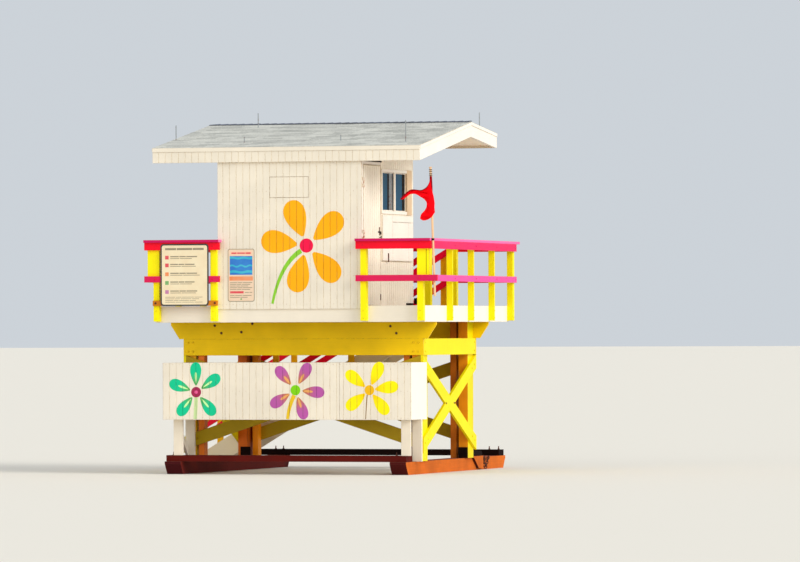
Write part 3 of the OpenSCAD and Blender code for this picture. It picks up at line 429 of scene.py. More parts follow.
def grown(tree, finish, points=(), **values):
    """Runs a tree once with its inputs set by identifier and returns the plain mesh."""
    seed = bpy.data.meshes.new("seed")
    seed.from_pydata([Vector(p) / 1000 for p in points], [], [])
    host = placed("grower", seed)
    modifier = host.modifiers.new("grow", "NODES")
    modifier.node_group = tree
    values["Finish"] = MATERIALS[finish]
    for item in tree.interface.items_tree:
        if item.name in values:
            modifier[item.identifier] = values[item.name]
    graph = bpy.context.evaluated_depsgraph_get()
    mesh = bpy.data.meshes.new_from_object(host.evaluated_get(graph))
    host.modifiers.remove(modifier)
    bpy.data.objects.remove(host)
    return mesh


def board_run_tree():
    """Boards side by side along x, each running along y, with eased edges, cut at the run's ends."""
    tree, new, g = new_tree("board_run", "Extent Length Pitch Gap Thickness Ease Start Rise")
    x, y, z = new("SeparateXYZ", new("InputPosition")).outputs
    width = new("Math SUBTRACT", g["Pitch"], g["Gap"])
    half = new("Math MULTIPLY", width, 0.5)
    count = new("Math CEIL", new("Math DIVIDE", new("Math SUBTRACT", g["Extent"], g["Start"]), g["Pitch"]))
    first = new("Math MULTIPLY_ADD", g["Pitch"], 0.5, g["Start"])
    line = new("MeshLine", {"Count": count, "Start Location": new("CombineXYZ", first),
                            "Offset": new("CombineXYZ", g["Pitch"])}, mode="OFFSET")
    left = new("Math MAXIMUM", new("Math SUBTRACT", x, half), 0.0)
    right = new("Math MINIMUM", new("Math ADD", x, half), g["Extent"])
    thin = new("Math LESS_THAN", new("Math SUBTRACT", right, left), 0.004)
    kept = new("DeleteGeometry", line, thin, domain="POINT")
    cube = new("MeshCube", new("CombineXYZ", width, g["Length"], g["Thickness"]), 4, 2, 2)
    inner = new("Math LESS_THAN", new("Math ABSOLUTE", x), new("Math MULTIPLY", width, 0.3))
    outer = new("Math SUBTRACT", 1.0, inner)
    flat = new("Math MULTIPLY", new("Math SIGN", x), new("Math SUBTRACT", half, g["Ease"]))
    board_x = new("Math ADD", new("Math MULTIPLY", inner, flat), new("Math MULTIPLY", outer, x))
    board_y = new("Math MULTIPLY_ADD", g["Length"], 0.5, y)
    drop = new("Math MULTIPLY", new("Math MULTIPLY", new("Math GREATER_THAN", z, 0.0), outer), g["Ease"])
    board_z = new("Math SUBTRACT", new("Math MULTIPLY_ADD", g["Thickness"], 0.5, z), drop)
    board = new("SetPosition", {"Geometry": cube, "Position": new("CombineXYZ", board_x, board_y, board_z)})
    cut_x = new("Clamp", x, 0.0, g["Extent"])
    share = new("Math DIVIDE", new("Math MULTIPLY_ADD", cut_x, g["Rise"], g["Length"]), g["Length"])
    trim = new("CombineXYZ", cut_x, new("Math MULTIPLY", y, share), z)
    return repeated(tree, new, g, kept, board, trim=trim)


def shingle_tree():
    """Three-tab shingle courses: tabs along x, courses up y, each tab tilted and with its own tone."""
    tree, new, g = new_tree("shingle_courses", "Extent Run Tab Course Slot Butt", "Seed")
    x, y, z = new("SeparateXYZ", new("InputPosition")).outputs
    columns = new("Math ADD", new("Math CEIL", new("Math DIVIDE", g["Extent"], g["Tab"])), 2.0)
    rows = new("Math CEIL", new("Math DIVIDE", g["Run"], g["Course"]))
    grid_x = new("Math MULTIPLY", new("Math SUBTRACT", columns, 1.0), g["Tab"])
    grid_y = new("Math MULTIPLY", new("Math SUBTRACT", rows, 1.0), g["Course"])
    from_foot = new("Math MULTIPLY_ADD", grid_y, 0.5, y)
    odd = new("Math MODULO", new("Math ROUND", new("Math DIVIDE", from_foot, g["Course"])), 2.0)
    half_tab = new("Math MULTIPLY", g["Tab"], 0.5)
    shift = new("Math SUBTRACT", new("Math MULTIPLY", odd, half_tab), half_tab)
    spot = new("CombineXYZ", new("Math ADD", new("Math MULTIPLY_ADD", grid_x, 0.5, x), shift), from_foot)
    courses = new("SetPosition", {"Geometry": new("MeshGrid", grid_x, grid_y, columns, rows), "Position": spot})
    half = new("Math MULTIPLY", new("Math SUBTRACT", g["Tab"], g["Slot"]), 0.5)
    seen = new("Math SUBTRACT", new("Math MINIMUM", new("Math ADD", x, half), g["Extent"]),
               new("Math MAXIMUM", new("Math SUBTRACT", x, half), 0.0))
    kept = new("DeleteGeometry", courses, new("Math LESS_THAN", seen, 0.01), domain="POINT")
    long = new("Math MULTIPLY", g["Course"], 1.2)
    cube = new("MeshCube", new("CombineXYZ", new("Math MULTIPLY", half, 2.0), long, g["Butt"]), 2, 2, 2)
    fall = new("Math MULTIPLY", new("Math MULTIPLY", g["Butt"], 1.6), new("Math GREATER_THAN", y, 0.0))
    top = new("Math SUBTRACT", new("Math MULTIPLY", g["Butt"], 2.0), fall)
    tab_z = new("Math MULTIPLY", new("Math GREATER_THAN", z, 0.0), top)
    tab_spot = new("CombineXYZ", x, new("Math MULTIPLY_ADD", long, 0.5, y), tab_z)
    tab = new("SetPosition", {"Geometry": cube, "Position": tab_spot})
    trim = new("CombineXYZ", new("Clamp", x, 0.0, g["Extent"]), new("Clamp", y, 0.0, g["Run"]), z)
    return repeated(tree, new, g, kept, tab, seed=g["Seed"], trim=trim)


def cap_tree():
    """Copies of one folded cap along x, each turned down a little at the end that the next one covers."""
    tree, new, g = new_tree("ridge_caps", "Pitch Wing Near Far Sheet", "Count")
    x, y, z = new("SeparateXYZ", new("InputPosition")).outputs
    line = new("MeshLine", {"Count": g["Count"], "Offset": new("CombineXYZ", g["Pitch"])}, mode="OFFSET")
    long = new("Math MULTIPLY", g["Pitch"], 1.25)
    cube = new("MeshCube", new("CombineXYZ", long, new("Math MULTIPLY", g["Wing"], 2.0), g["Sheet"]), 2, 3, 2)
    near_fall = new("Math MULTIPLY", new("Math MINIMUM", y, 0.0), g["Near"])
    far_fall = new("Math MULTIPLY", new("Math MAXIMUM", y, 0.0), new("Math MULTIPLY", g["Far"], -1.0))
    lap = new("Math MULTIPLY", new("Math GREATER_THAN", x, 0.0), new("Math MULTIPLY", g["Sheet"], 1.5))
    level = new("Math ADD", new("Math ADD", z, lap), new("Math ADD", near_fall, far_fall))
    spot = new("CombineXYZ", new("Math MULTIPLY_ADD", long, 0.5, x), y, level)
    return repeated(tree, new, g, line, new("SetPosition", {"Geometry": cube, "Position": spot}), seed=5)


def stud_tree():
    """A head with a chosen number of sides on a washer on every point, standing out along local z."""
    tree, new, g = new_tree("studs", "Head Height Washer Sheet", "Sides")
    both = new("JoinGeometry")
    for sides, radius, depth, foot in ((g["Sides"], g["Head"], g["Height"], g["Sheet"]),
                                       (18, g["Washer"], g["Sheet"], 0.0)):
        plate = new("MeshCylinder", {"Vertices": sides, "Radius": radius, "Depth": depth})
        middle = new("CombineXYZ", 0.0, 0.0, new("Math MULTIPLY_ADD", depth, 0.5, foot))
        tree.links.new(new("Transform", plate, {"Translation": middle}).outputs[0], both.inputs[0])
    return repeated(tree, new, g, g["Points"], both)


def chain_tree():
    """An oval link on every point along local y, every second one turned a quarter."""
    tree, new, g = new_tree("chain", "Wire Link")
    circle = new("CurvePrimitiveCircle", 14, new("Math MULTIPLY", g["Link"], 0.5))
    oval = new("Transform", circle, {"Scale": (0.6, 1.0, 1.0)})
    tube = new("CurveToMesh", oval, new("CurvePrimitiveCircle", 7, g["Wire"]))
    quarter = new("Math MULTIPLY", new("Math MODULO", new("InputIndex"), 2.0), math.pi / 2)
    return repeated(tree, new, g, g["Points"], tube, Rotation=new("CombineXYZ", 0.0, quarter))


BOARD_RUN, SHINGLES, STUDS, CHAIN = board_run_tree(), shingle_tree(), stud_tree(), chain_tree()


# Pieces
def piece(name, meshes, body="tower"):
    """Joins placed meshes into one object at the origin that rides on a body."""
    joined, finishes = bmesh.new(), []
    for mesh, matrix in meshes:
        mesh.transform(matrix)
        base, finish = len(joined.faces), mesh.materials[-1]
        joined.from_mesh(mesh)
        joined.faces.ensure_lookup_table()
        if finish not in finishes:
            finishes.append(finish)
        for face in joined.faces[base:]:
            face.material_index = finishes.index(finish)
        bpy.data.meshes.remove(mesh)
    done = bpy.data.meshes.new(name)
    joined.to_mesh(done)
    joined.free()
    for finish in finishes:
        done.materials.append(finish)
    made = placed(name, done)
    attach(made, body)
    return made


def settled(bm, finish):
    """A bmesh as a plain mesh with one finish, left where it is."""
    mesh = bpy.data.meshes.new(finish)
    bm.to_mesh(mesh)
    bm.free()
    mesh.materials.append(MATERIALS[finish])
    return mesh, Matrix.Identity(4)


def eased_box(low, high, ease, finish):
    """A board between two corners in mm, with its edges eased."""
    bm = bmesh.new()
    bmesh.ops.create_cube(bm, size=1.0)
    a, b = at(*low), at(*high)
    for v in bm.verts:
        v.co = Vector([b[i] if v.co[i] > 0 else a[i] for i in range(3)])
    bmesh.ops.bevel(bm, geom=list(bm.edges), offset=ease / 1000, segments=1, affect="EDGES", profile=0.5)
    return settled(bm, finish)


def slabs(parts, finish, place, along, up=Z):
    """Closed flat prisms on a face: each part is an outline in mm with its lower and its upper level."""
    verts, faces = [], []
    for outline, low, high in parts:
        turn = sum(a[0] * b[1] - b[0] * a[1] for a, b in zip(outline, outline[1:] + outline[:1]))
        outline = outline if turn > 0 else outline[::-1]
        base, n = len(verts), len(outline)
        verts += [Vector((x, y, level)) / 1000 for level in (low, high) for x, y in outline]
        faces += [tuple(range(base + n - 1, base - 1, -1)), tuple(range(base + n, base + 2 * n))]
        faces += [(base + i, base + (i + 1) % n, base + n + (i + 1) % n, base + n + i) for i in range(n)]
    mesh = bpy.data.meshes.new("slabs")
    mesh.from_pydata(verts, [], faces)
    mesh.materials.append(MATERIALS[finish])
    return mesh, basis(place, along, up)


def turned(profile, place, axis, finish, steps=24):
    """A closed ring or tube: a profile of (radius, height) in mm turned about an axis from a place."""
    side = axis.orthogonal().normalized()
    other, foot, bm, rings = axis.cross(side), at(*place), bmesh.new(), []
    for i in range(steps):
        turn = 2 * math.pi * i / steps
        out = side * math.cos(turn) + other * math.sin(turn)
        rings.append([bm.verts.new(foot + (out * r + axis * h) / 1000) for r, h in profile])
    for a, b in zip(rings, rings[1:] + rings[:1]):
        for j, k in zip(range(len(profile)), [*range(1, len(profile)), 0]):
            bm.faces.new((a[j], a[k], b[k], b[j]))
    bmesh.ops.recalc_face_normals(bm, faces=bm.faces)
    return settled(bm, finish)


def disc(centre, radius, points=28):
    """A round outline."""
    turns = [2 * math.pi * i / points for i in range(points)]
    return [(centre[0] + radius * math.cos(t), centre[1] + radius * math.sin(t)) for t in turns]


def ring(radius, wire, points=8):
    """The profile of a round ring."""
    return disc((radius, 0), wire, points)


def bar(x0, x1, z0, z1):
    """An upright outline."""
    return [(x0, z0), (x1, z0), (x1, z1), (x0, z1)]


# Siding, in metres: the board's pitch, its groove, its lift over the groove and its eased edge
SIDING_PITCH, SIDING_GROOVE, SIDING_RAISE, SIDING_EASE = 0.1016, 0.006, 0.004, 0.0015
LIFT = 1000 * SIDING_RAISE
NEAR_GROOVE, LOCKER_GROOVE, EAVE_GROOVE, PLAIN_GROOVE = 80, 98, 91, 97


def siding(place, along, extent, height, start=0.0, first=PLAIN_GROOVE, rise=0.0):
    """Grooved siding on a face, over an extent and a height in mm from a corner. The wall's first groove is
    `first` mm from the wall's own corner, and the field begins `start` mm from that corner."""
    begin = (first - start) / 1000 % SIDING_PITCH - SIDING_PITCH
    mesh = grown(BOARD_RUN, "white_siding_z", Extent=extent / 1000, Length=height / 1000, Pitch=SIDING_PITCH,
                 Gap=SIDING_GROOVE, Thickness=SIDING_RAISE, Ease=SIDING_EASE, Start=begin, Rise=rise)
    return mesh, basis(place, along)


def wall_cells(x0, x1, z0, z1, holes):
    """Splits a wall's face into boards' fields round its openings."""
    cuts = sorted({x0, x1, *[h[0] for h in holes], *[h[1] for h in holes]})
    cells = []
    for a, b in zip(cuts, cuts[1:]):
        low = z0
        for bottom, top in sorted((h[2], h[3]) for h in holes if h[0] <= a and h[1] >= b):
            if bottom > low:
                cells.append((a, b, low, bottom))
            low = top
        cells.append((a, b, low, z1))
    return cells


near_low, near_high = span("near_wall")
hatch_low, hatch_high = span("vent_hatch")
left_high = span("left_wall")[1]
door_low, door_high = span("door_leaf")
hut_l, hut_r, front, wall_top, hut_far = near_low.x, near_high.x, near_low.y, near_high.z, left_high.y
slope = (left_high.z - wall_top) / (hut_far - front)
HATCH_GAP, HATCH_EDGE, DOOR_EDGE, SIDE_BASE = 4, 1, 12, 2426
WINDOW, FAR_WALL = (3755, 4405), (-1080, 1100)
LEFT_WINDOW, RIGHT_WINDOW, FAR_WINDOW = (585, 1855, *WINDOW), (881, 2151, *WINDOW), (-625, 645, *WINDOW)
door_end = door_high.y + 5


def side_fields(face_x, along, y0, y1, hole):
    """Siding on a wall that faces left or right, split round its opening and cut to the roof's slope."""
    fields = []
    for a, b, low, top in wall_cells(y0, y1, SIDE_BASE, None, [hole]):
        foot, way = (a, 1) if along.y > 0 else (b, -1)
        height = (wall_top + slope * (foot - front) if top is None else top) - low
        fields.append(siding((face_x, foot, low), along, b - a, height, a - y0,
                             rise=slope * way if top is None else 0.0))
    return fields


hatch_hole = (hatch_low.x - HATCH_GAP, hatch_high.x + HATCH_GAP,
              hatch_low.z - HATCH_GAP, hatch_high.z + HATCH_GAP)
hatch_field = siding((hatch_low.x + HATCH_EDGE, hatch_low.y, hatch_low.z + HATCH_EDGE), X,
                     hatch_high.x - hatch_low.x - 2 * HATCH_EDGE, hatch_high.z - hatch_low.z - 2 * HATCH_EDGE,
                     hatch_low.x - hut_l, NEAR_GROOVE)
door_field = siding((door_high.x, door_low.y + DOOR_EDGE, door_low.z + DOOR_EDGE), Y,
                    door_high.y - door_low.y - 2 * DOOR_EDGE, door_high.z - door_low.z - 2 * DOOR_EDGE)
piece("near_wall_siding", [siding((a, front, low), X, b - a, top - low, a - hut_l, NEAR_GROOVE)
                           for a, b, low, top in wall_cells(hut_l, hut_r, near_low.z, wall_top, [hatch_hole])])
piece("vent_hatch_siding", [hatch_field])
piece("left_wall_siding", side_fields(hut_l, -Y, 0, hut_far, LEFT_WINDOW))
piece("right_wall_siding", side_fields(hut_r, Y, door_end, hut_far, RIGHT_WINDOW))
piece("far_wall_siding", [siding((b, hut_far, low), -X, b - a, (top or left_high.z) - low)
                          for a, b, low, top in wall_cells(*FAR_WALL, SIDE_BASE, None, [FAR_WINDOW])])
piece("door_leaf_siding", [door_field], "door")

# Eave boards: a smooth strip on top and grooved siding below. Each eave: name, way, corner, face and top.
eave_low, eave_high = span("eave_boards")
barge_low, barge_high = span("bargeboards")
EAVE_DEEP, STRIP, STRIP_SKIN = 215, 60, 12
roof_wide = barge_high.x - barge_low.x
EAVES = (("near", X, barge_low.x, eave_low.y, eave_low.z + EAVE_DEEP),
         ("far", -X, barge_high.x, eave_high.y, eave_high.z))
for (name, way, corner, y, top), first, skin in zip(EAVES, (EAVE_GROOVE, PLAIN_GROOVE), (-STRIP_SKIN, 0)):
    piece(name + "_eave_siding", [
        siding((corner, y, top - EAVE_DEEP), way, roof_wide, EAVE_DEEP - STRIP, first=first),
        eased_box((barge_low.x, y + skin, top - STRIP), (barge_high.x, y + skin + STRIP_SKIN, top), 2,
                  "white_front_x")])

# Board locker: grooved panels with a seam between them
front_low, front_high = span("locker_front")
ends_low, ends_high = span("locker_ends")
FIRST_PANEL, LAST_PANEL, HALF_SEAM, LOCKER_BACK = 947, 1071, 1.5, 590
seams = [front_low.x, front_low.x + FIRST_PANEL, front_high.x - LAST_PANEL, front_high.x]
piece("locker_front_siding", [
    siding((a + HALF_SEAM, front_low.y, front_low.z), X, b - a - 2 * HALF_SEAM, front_high.z - front_low.z,
           a + HALF_SEAM - front_low.x, LOCKER_GROOVE) for a, b in zip(seams, seams[1:])])
piece("locker_end_siding", [siding((ends_low.x, LOCKER_BACK, ends_low.z), -Y, LOCKER_BACK - front_low.y,
                                   ends_high.z - ends_low.z)])

# Roof: shingle courses on both slopes, 1 mm over the slabs
ridge = span("near_roof_slope")[1]
ups = []
for (name, way, corner, y, top), seed in zip(EAVES, (3, 8)):
    ups.append(at(0, ridge.y, ridge.z) - at(0, y, top))
    courses = grown(SHINGLES, "shingle", Extent=roof_wide / 1000, Run=ups[-1].length, Tab=0.305, Course=0.127,
                    Slot=0.010, Butt=0.004, Seed=seed)
    piece(name + "_shingles", [(courses, basis((corner, y, top + 1), way, ups[-1]))])

# Deck: separate boards in place of the plain floor
floor_low, floor_high = span("deck_floor")
LANDING_LEFT, DECK_FAR = 1178, 3262


def decking(x0, y0, y1):
    """Deck boards from a left end to the floor's right one, between two y places."""
    mesh = grown(BOARD_RUN, "board", Extent=(y1 - y0) / 1000, Length=(floor_high.x - x0) / 1000, Pitch=0.1435,
                 Gap=0.005, Thickness=(floor_high.z - floor_low.z) / 1000, Ease=0.003, Start=0.0, Rise=0.0)
    return mesh, basis((floor_high.x, y0, floor_low.z), Y, -X)


boards = piece("deck_boards", [decking(floor_low.x, floor_low.y, DECK_FAR),
                               decking(LANDING_LEFT, DECK_FAR, floor_high.y)])
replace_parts(boards, "deck_floor")


# Painted flowers: how far in mm the paint's underside stands off the board, and the level that each coat reaches
PAINT_FOOT, STEM_COAT, PETAL_COAT, RIB_COAT, HEART_COAT, DOT_COAT = 0.2, 0.5, 0.8, 1.1, 1.4, 1.7


def clipped(outline, low, high):
    """The part of a convex outline whose first coordinate lies between two values."""
    for sign, limit in ((1, low), (-1, high)):
        kept = []
        for a, b in zip(outline, outline[1:] + outline[:1]):
            da, db = sign * (a[0] - limit), sign * (b[0] - limit)
            if da >= 0:
                kept.append(a)
            if da * db < 0:
                share = da / (da - db)
                kept.append((a[0] + share * (b[0] - a[0]), a[1] + share * (b[1] - a[1])))
        outline = kept
    return outline


def brushed(outlines, corner, first, coat):
    """Paint on grooved siding: convex outlines in mm, cut to each board and each groove."""
    pitch, groove, raised, lap = (1000 * v for v in (SIDING_PITCH, SIDING_GROOVE, SIDING_RAISE, 0.0003))
    parts = []
    for outline in outlines:
        left, right = min(p[0] for p in outline), max(p[0] for p in outline)
        middle = corner + first + math.floor((left - corner - first) / pitch) * pitch
        while middle < right + groove:
            for a, b, level in ((middle - groove / 2 + lap, middle + groove / 2 - lap, coat),
                                (middle + groove / 2 - lap, middle + pitch - groove / 2 + lap, raised + coat)):
                part = clipped(outline, a, b)
                if len(part) > 2 and max(p[0] for p in part) - min(p[0] for p in part) > 0.5:
                    parts.append((part, PAINT_FOOT, level))
            middle += pitch
    return parts


def petal(centre, angle, start, end, width, points=26, blunt=0.42, widest=0.77):
    """A teardrop's outline, blunt towards the flower's centre and round outside."""
    turn, outline = math.radians(angle), []
    for i in range(points + 1):
        t = blunt + (2 * math.pi - 2 * blunt) * i / points
        reach = start + (end - start) * (1 - math.cos(t)) / 2
        off = width / 2 / widest * math.sin(t) * math.sin(t / 2)
        outline.append((centre[0] + reach * math.cos(turn) - off * math.sin(turn),
                        centre[1] + reach * math.sin(turn) + off * math.cos(turn)))
    return outline


def stem(places, wide, narrow, steps=12):
    """A tapering stem along a curve with one bend, as short convex pieces."""
    a, b, c = (Vector(p) for p in places)
    rungs = []
    for i in range(steps + 1):
        t = i / steps
        spot = (1 - t) ** 2 * a + 2 * t * (1 - t) * b + t * t * c
        way = ((1 - t) * (b - a) + t * (c - b)).normalized()
        out = Vector((-way.y, way.x)) * (wide + (narrow - wide) * t) / 2
        rungs.append((tuple(spot + out), tuple(spot - out)))
    return [[a[0], a[1], b[1], b[0]] for a, b in zip(rungs, rungs[1:])]


def flower(name, centre, wall, paints, angles, reach, heart, stalk, rib=None):
    """A painted daisy on siding that faces the beach, each part a thin coat of paint. Petals and ribs are given
    by their start, end and width, and the stem by its curve and its width at each end."""
    face_y, corner, first = wall
    coats = [(stem(*stalk), STEM_COAT, "stem"),
             ([petal(centre, angle, *reach) for angle in angles], PETAL_COAT, "petal"),
             ([petal(centre, angle, *rib, 14) for angle in angles] if rib else [], RIB_COAT, "rib"),
             ([disc(centre, heart)], HEART_COAT, "heart"), ([disc(centre, heart / 3)], DOT_COAT, "dot")]
    piece(name, [slabs(brushed(outlines, corner, first, coat), paints[part], (0, face_y, 0), X)
                 for outlines, coat, part in coats if part in paints])


LOCKER_FACE = (front_low.y, front_low.x, LOCKER_GROOVE)
flower("wall_flower", WALL_CENTRE, (front, hut_l, NEAR_GROOVE),
       {"petal": "petal_orange", "heart": "petal_rose", "stem": "petal_leaf"},
       angles=(111, 39, 173, -46, -105), reach=(120, 690, 332), heart=102,
       stalk=([(186, 3217), (-130, 3035), (-250, 2457)], 70, 36))
flower("mint_flower", MINT_CENTRE, LOCKER_FACE,
       {"petal": "petal_mint", "rib": "rib_mint", "heart": "petal_wine", "dot": "petal_pink",
        "stem": "stem_pale"},
       angles=(91, 33, 161, -130, -49), reach=(85, 432, 172), rib=(120, 290, 30), heart=76,
       stalk=([(-1400, 1110), (-1408, 950), (-1416, 800)], 58, 50))
flower("mauve_flower", MAUVE_CENTRE, LOCKER_FACE,
       {"petal": "petal_mauve", "rib": "rib_peach", "heart": "petal_lime", "stem": "stem_gold"},
       angles=(61, 131, -5, -149, -71), reach=(95, 440, 168), rib=(100, 265, 36), heart=74,
       stalk=([(90, 1140), (10, 990), (-12, 800)], 62, 44))
flower("yellow_flower", YELLOW_CENTRE, LOCKER_FACE,
       {"petal": "petal_yellow", "heart": "petal_gold", "stem": "stem_brown"},
       angles=(66, 143, 8, -51, -142), reach=(70, 438, 178), heart=72,
       stalk=([(1190, 1150), (1176, 990), (1166, 800)], 15, 11))


# Signs: only generic bars, squares and waves
def rounded(inset, wide, high, radius, points=6):
    """A sheet's outline with round corners, set in from its edges."""
    near, right, top = inset + radius, wide - inset - radius, high - inset - radius
    return [(cx + radius * math.cos(math.pi / 2 * (k + i / points)),
             cz + radius * math.sin(math.pi / 2 * (k + i / points)))
            for k, (cx, cz) in enumerate(((right, top), (near, top), (near, near), (right, near)))
            for i in range(points + 1)]


def words(x0, x1, z, height, shares, space=9.0):
    """A line of print as bars of given shares of its length, with a space between them."""
    left, outlines = x0, []
    room = x1 - x0 - space * (len(shares) - 1)
    for share in shares:
        wide = room * share / sum(shares)
        outlines.append(bar(left, left + wide, z, z + height))
        left += wide + space
    return outlines


def band(x0, x1, z, height, swing, waves, steps=24):
    """A wavy stripe as convex pieces."""
    marks = [x0 + (x1 - x0) * i / steps for i in range(steps + 1)]
    foot = [z + swing * math.sin(2 * math.pi * waves * (x - x0) / (x1 - x0)) for x in marks]
    return [[(a, za), (b, zb), (b, zb + height), (a, za + height)]
            for a, b, za, zb in zip(marks, marks[1:], foot, foot[1:])]


def printed(name, sheet, rows):
    """A sign's sheet and print in place of its plain board: outlines with their finish and two levels."""
    corner = span(sheet)[0]
    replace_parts(piece(name, [slabs([(outline, low, high) for outline in outlines], finish, corner, X)
                             for finish, low, high, outlines in rows]), sheet)


def sheet_size(name):
    """A sign's width and height in mm."""
    low, high = span(name)
    return high.x - low.x, high.z - low.z


wide, high = sheet_size("rail_sign")
SQUARES = ((672, "sign_red"), (560, "sign_red"), (432, "sign_orange"), (306, "sign_green"),
           (176, "sign_violet"))
lines = words(72, 662, 806, 30, (5, 7, 5))
for i, (level, _) in enumerate(SQUARES):
    lines += words(150, 560 - 40 * (i % 2), level + 32, 16, (4, 3, 5))
    lines += words(150, 480 + 60 * (i % 3), level + 8, 9, (3, 4))
for i in range(4):
    lines += words(72, 640 - 50 * (i % 3), 124 - 24 * i, 7, (5, 3, 6, 4))
printed("rail_sign_print", "rail_sign", [
    ("sign_black", -6.0, 1.0, [rounded(0, wide, high, 46)]),
    ("sign_white", 0.0, 1.8, [rounded(21, wide, high, 30)]),
    ("sign_grey", 1.8, 2.6, lines),
    *[(colour, 1.8, 2.6, [bar(72, 126, level, level + 54)]) for level, colour in SQUARES]])

wide, high = sheet_size("wall_sign")
waves = [stripe for row in ((612, 30, 6, 2), (500, 24, 11, 2.5), (410, 34, 8, 1.5))
         for stripe in band(30, wide - 30, *row)]
small_print = [line for i in range(5)
               for line in words(34, wide - 34 - 30 * (i % 3), 268 - 24 * i, 9, (3, 2, 4))]
notes = words(258, wide - 34, 128, 9, (3, 2)) + words(34, 360, 84, 9, (2, 3, 4)) + words(34, 300, 58, 9, (4, 3))
printed("wall_sign_print", "wall_sign", [
    ("sign_grey", -6.0, 0.8, [rounded(0, wide, high, 30)]),
    ("sign_pale", 0.0, 1.4, [rounded(9, wide, high, 24)]),
    ("sign_peach", 1.4, 2.0, [bar(40, wide - 40, 672, 722)]),
    ("sign_red", 2.0, 2.6, words(56, wide - 56, 686, 22, (2, 3, 2))),
    ("sign_blue", 1.4, 2.0, [bar(30, wide - 30, 385, 655)]), ("sign_cyan", 2.0, 2.6, waves),
    ("sign_orange", 1.4, 2.0, [bar(24, wide - 24, 302, 362)]), ("sign_grey", 1.4, 2.0, small_print),
    ("sign_red", 1.4, 2.0, [bar(34, 240, 118, 150)]), ("sign_grey", 1.4, 2.0, notes),
    ("sign_green", 1.4, 2.0, [disc((wide / 2, 36), 13, 12)])])


# Bolts on the frame: the middle of each crossing, its timbers' ends, the beams and the girders
def studs(points, along, up, place=(0, 0, 0), head=11, height=9, washer=19, sheet=2.5, sides=6, finish="bolt"):
    """Bolt heads at points in mm on a face."""
    mesh = grown(STUDS, finish, [(u, v, 0) for u, v in points], Sides=sides, Head=head / 1000,
                 Height=height / 1000, Washer=washer / 1000, Sheet=sheet / 1000)
    return mesh, basis(place, along, up)


def both_faces(marks, along, near, far, **kind):
    """The same bolts on two faces that look away from each other."""
    return [studs(marks, along, Z, near, **kind), studs([(-u, v) for u, v in marks], -along, Z, far, **kind)]


def brace_marks(a0, a1, z0, z1, insets, board=184):
    """Bolt places on two crossed boards: the middle, then each end at the given insets from the run's ends."""
    run = a1 - a0
    half = board / 2 * math.hypot(1, (z1 - z0) / run)
    low, high = z0 + half, z1 - half
    marks = [((a0 + a1) / 2, (z0 + z1) / 2)]
    for inset in insets:
        lift = (high - low) * inset / run
        marks += [(a, z) for a in (a0 + inset, a1 - inset) for z in (low + lift, high - lift)]
    return marks


frame_near, frame_far = span("near_girder")[0].y, span("far_girder")[1].y
half_frame = span("side_lower_beams")[1].x
LONG_FACES = (X, (0, frame_near, 0), (0, frame_far, 0))
SIDE_FACES = (Y, (half_frame, 0, 0), (-half_frame, 0, 0))
BEAM_LEVELS = (1768, 1894)
girder_marks = [(-1343, 2145), (-1243, 2036), (-768, 2172), (-936, 2050), (1330, 2129), (1420, 2028)]
beam_marks = [(side * x, z) for side in (-1, 1) for x in (1680, 1752) for z in BEAM_LEVELS]
side_marks = [(y, z) for y in (frame_near + 100, frame_far - 100) for z in BEAM_LEVELS]
long_marks = brace_marks(-1787, 1787, 355, 1712, (70, 170))
short_marks = brace_marks(frame_near, frame_far, 300, 1712, (95, 220))
lap_marks = [(short_marks[0][0] + shift, short_marks[0][1]) for shift in (-190, 190)]
SMALL = {"head": 9, "height": 7, "washer": 16, "sheet": 2}
piece("frame_bolts", both_faces(girder_marks, *LONG_FACES) + both_faces(lap_marks, *SIDE_FACES, **SMALL))
piece("painted_bolts", both_faces(beam_marks, *LONG_FACES, finish="yellow_x")
      + both_faces(side_marks + short_marks[1:], *SIDE_FACES, finish="yellow_y", **SMALL)
      + both_faces(long_marks, *LONG_FACES, finish="brace_x", **SMALL))

# Threaded rods with nuts, in staggered pairs on the cross timbers
STUD_PAIRS, STAGGER = ((-1819, -1716), (1563, 1690)), (-30, 30)
rods = []
for low, high in (span("near_cross_timber"), span("far_cross_timber")):
    spots = [(x, (low.y + high.y) / 2 + shift) for pair in STUD_PAIRS for x, shift in zip(pair, STAGGER)]
    rods += [studs(spots, X, Y, (0, 0, high.z), head=8, height=45, washer=22, sheet=4, sides=14),
             studs(spots, X, Y, (0, 0, high.z + 4), head=14, height=12, washer=15, sheet=1)]
piece("timber_studs", rods)

# Rails: a carriage bolt through every post at each rail and at the deck's edge
rail_near = span("near_rails")[0].y
cap_low, cap_high = span("rail_caps")
ROUND_HEAD = {"head": 10, "height": 5, "washer": 11, "sheet": 1.5, "sides": 14}
NEAR_POSTS = (-1995, -1125, 1145, 1995)
RIGHT_POSTS, LEFT_POSTS = (-45, 1069, 2119, 3169, 4155), (45, -1119, -2219, -3255)
for name, slot, levels, first, near_y, inset, near_coat, coat in (
        ("rail_bolts", "red_rail", (3290, 2816), 0, rail_near, 0, "red_x", "pink_y"),
        ("post_bolts", "yellow_post", (2250, 2355), 1, -89, 38, "yellow_z", "yellow_z")):
    piece(name, [studs([(u, z) for u in posts for z in levels], along, Z, place, finish=finish, **ROUND_HEAD)
                 for posts, along, place, finish in (
                     (NEAR_POSTS, X, (0, near_y, 0), near_coat),
                     (RIGHT_POSTS[first:], Y, (cap_high.x - inset, 0, 0), coat),
                     (LEFT_POSTS[first:], -Y, (cap_low.x + inset, 0, 0), coat))])


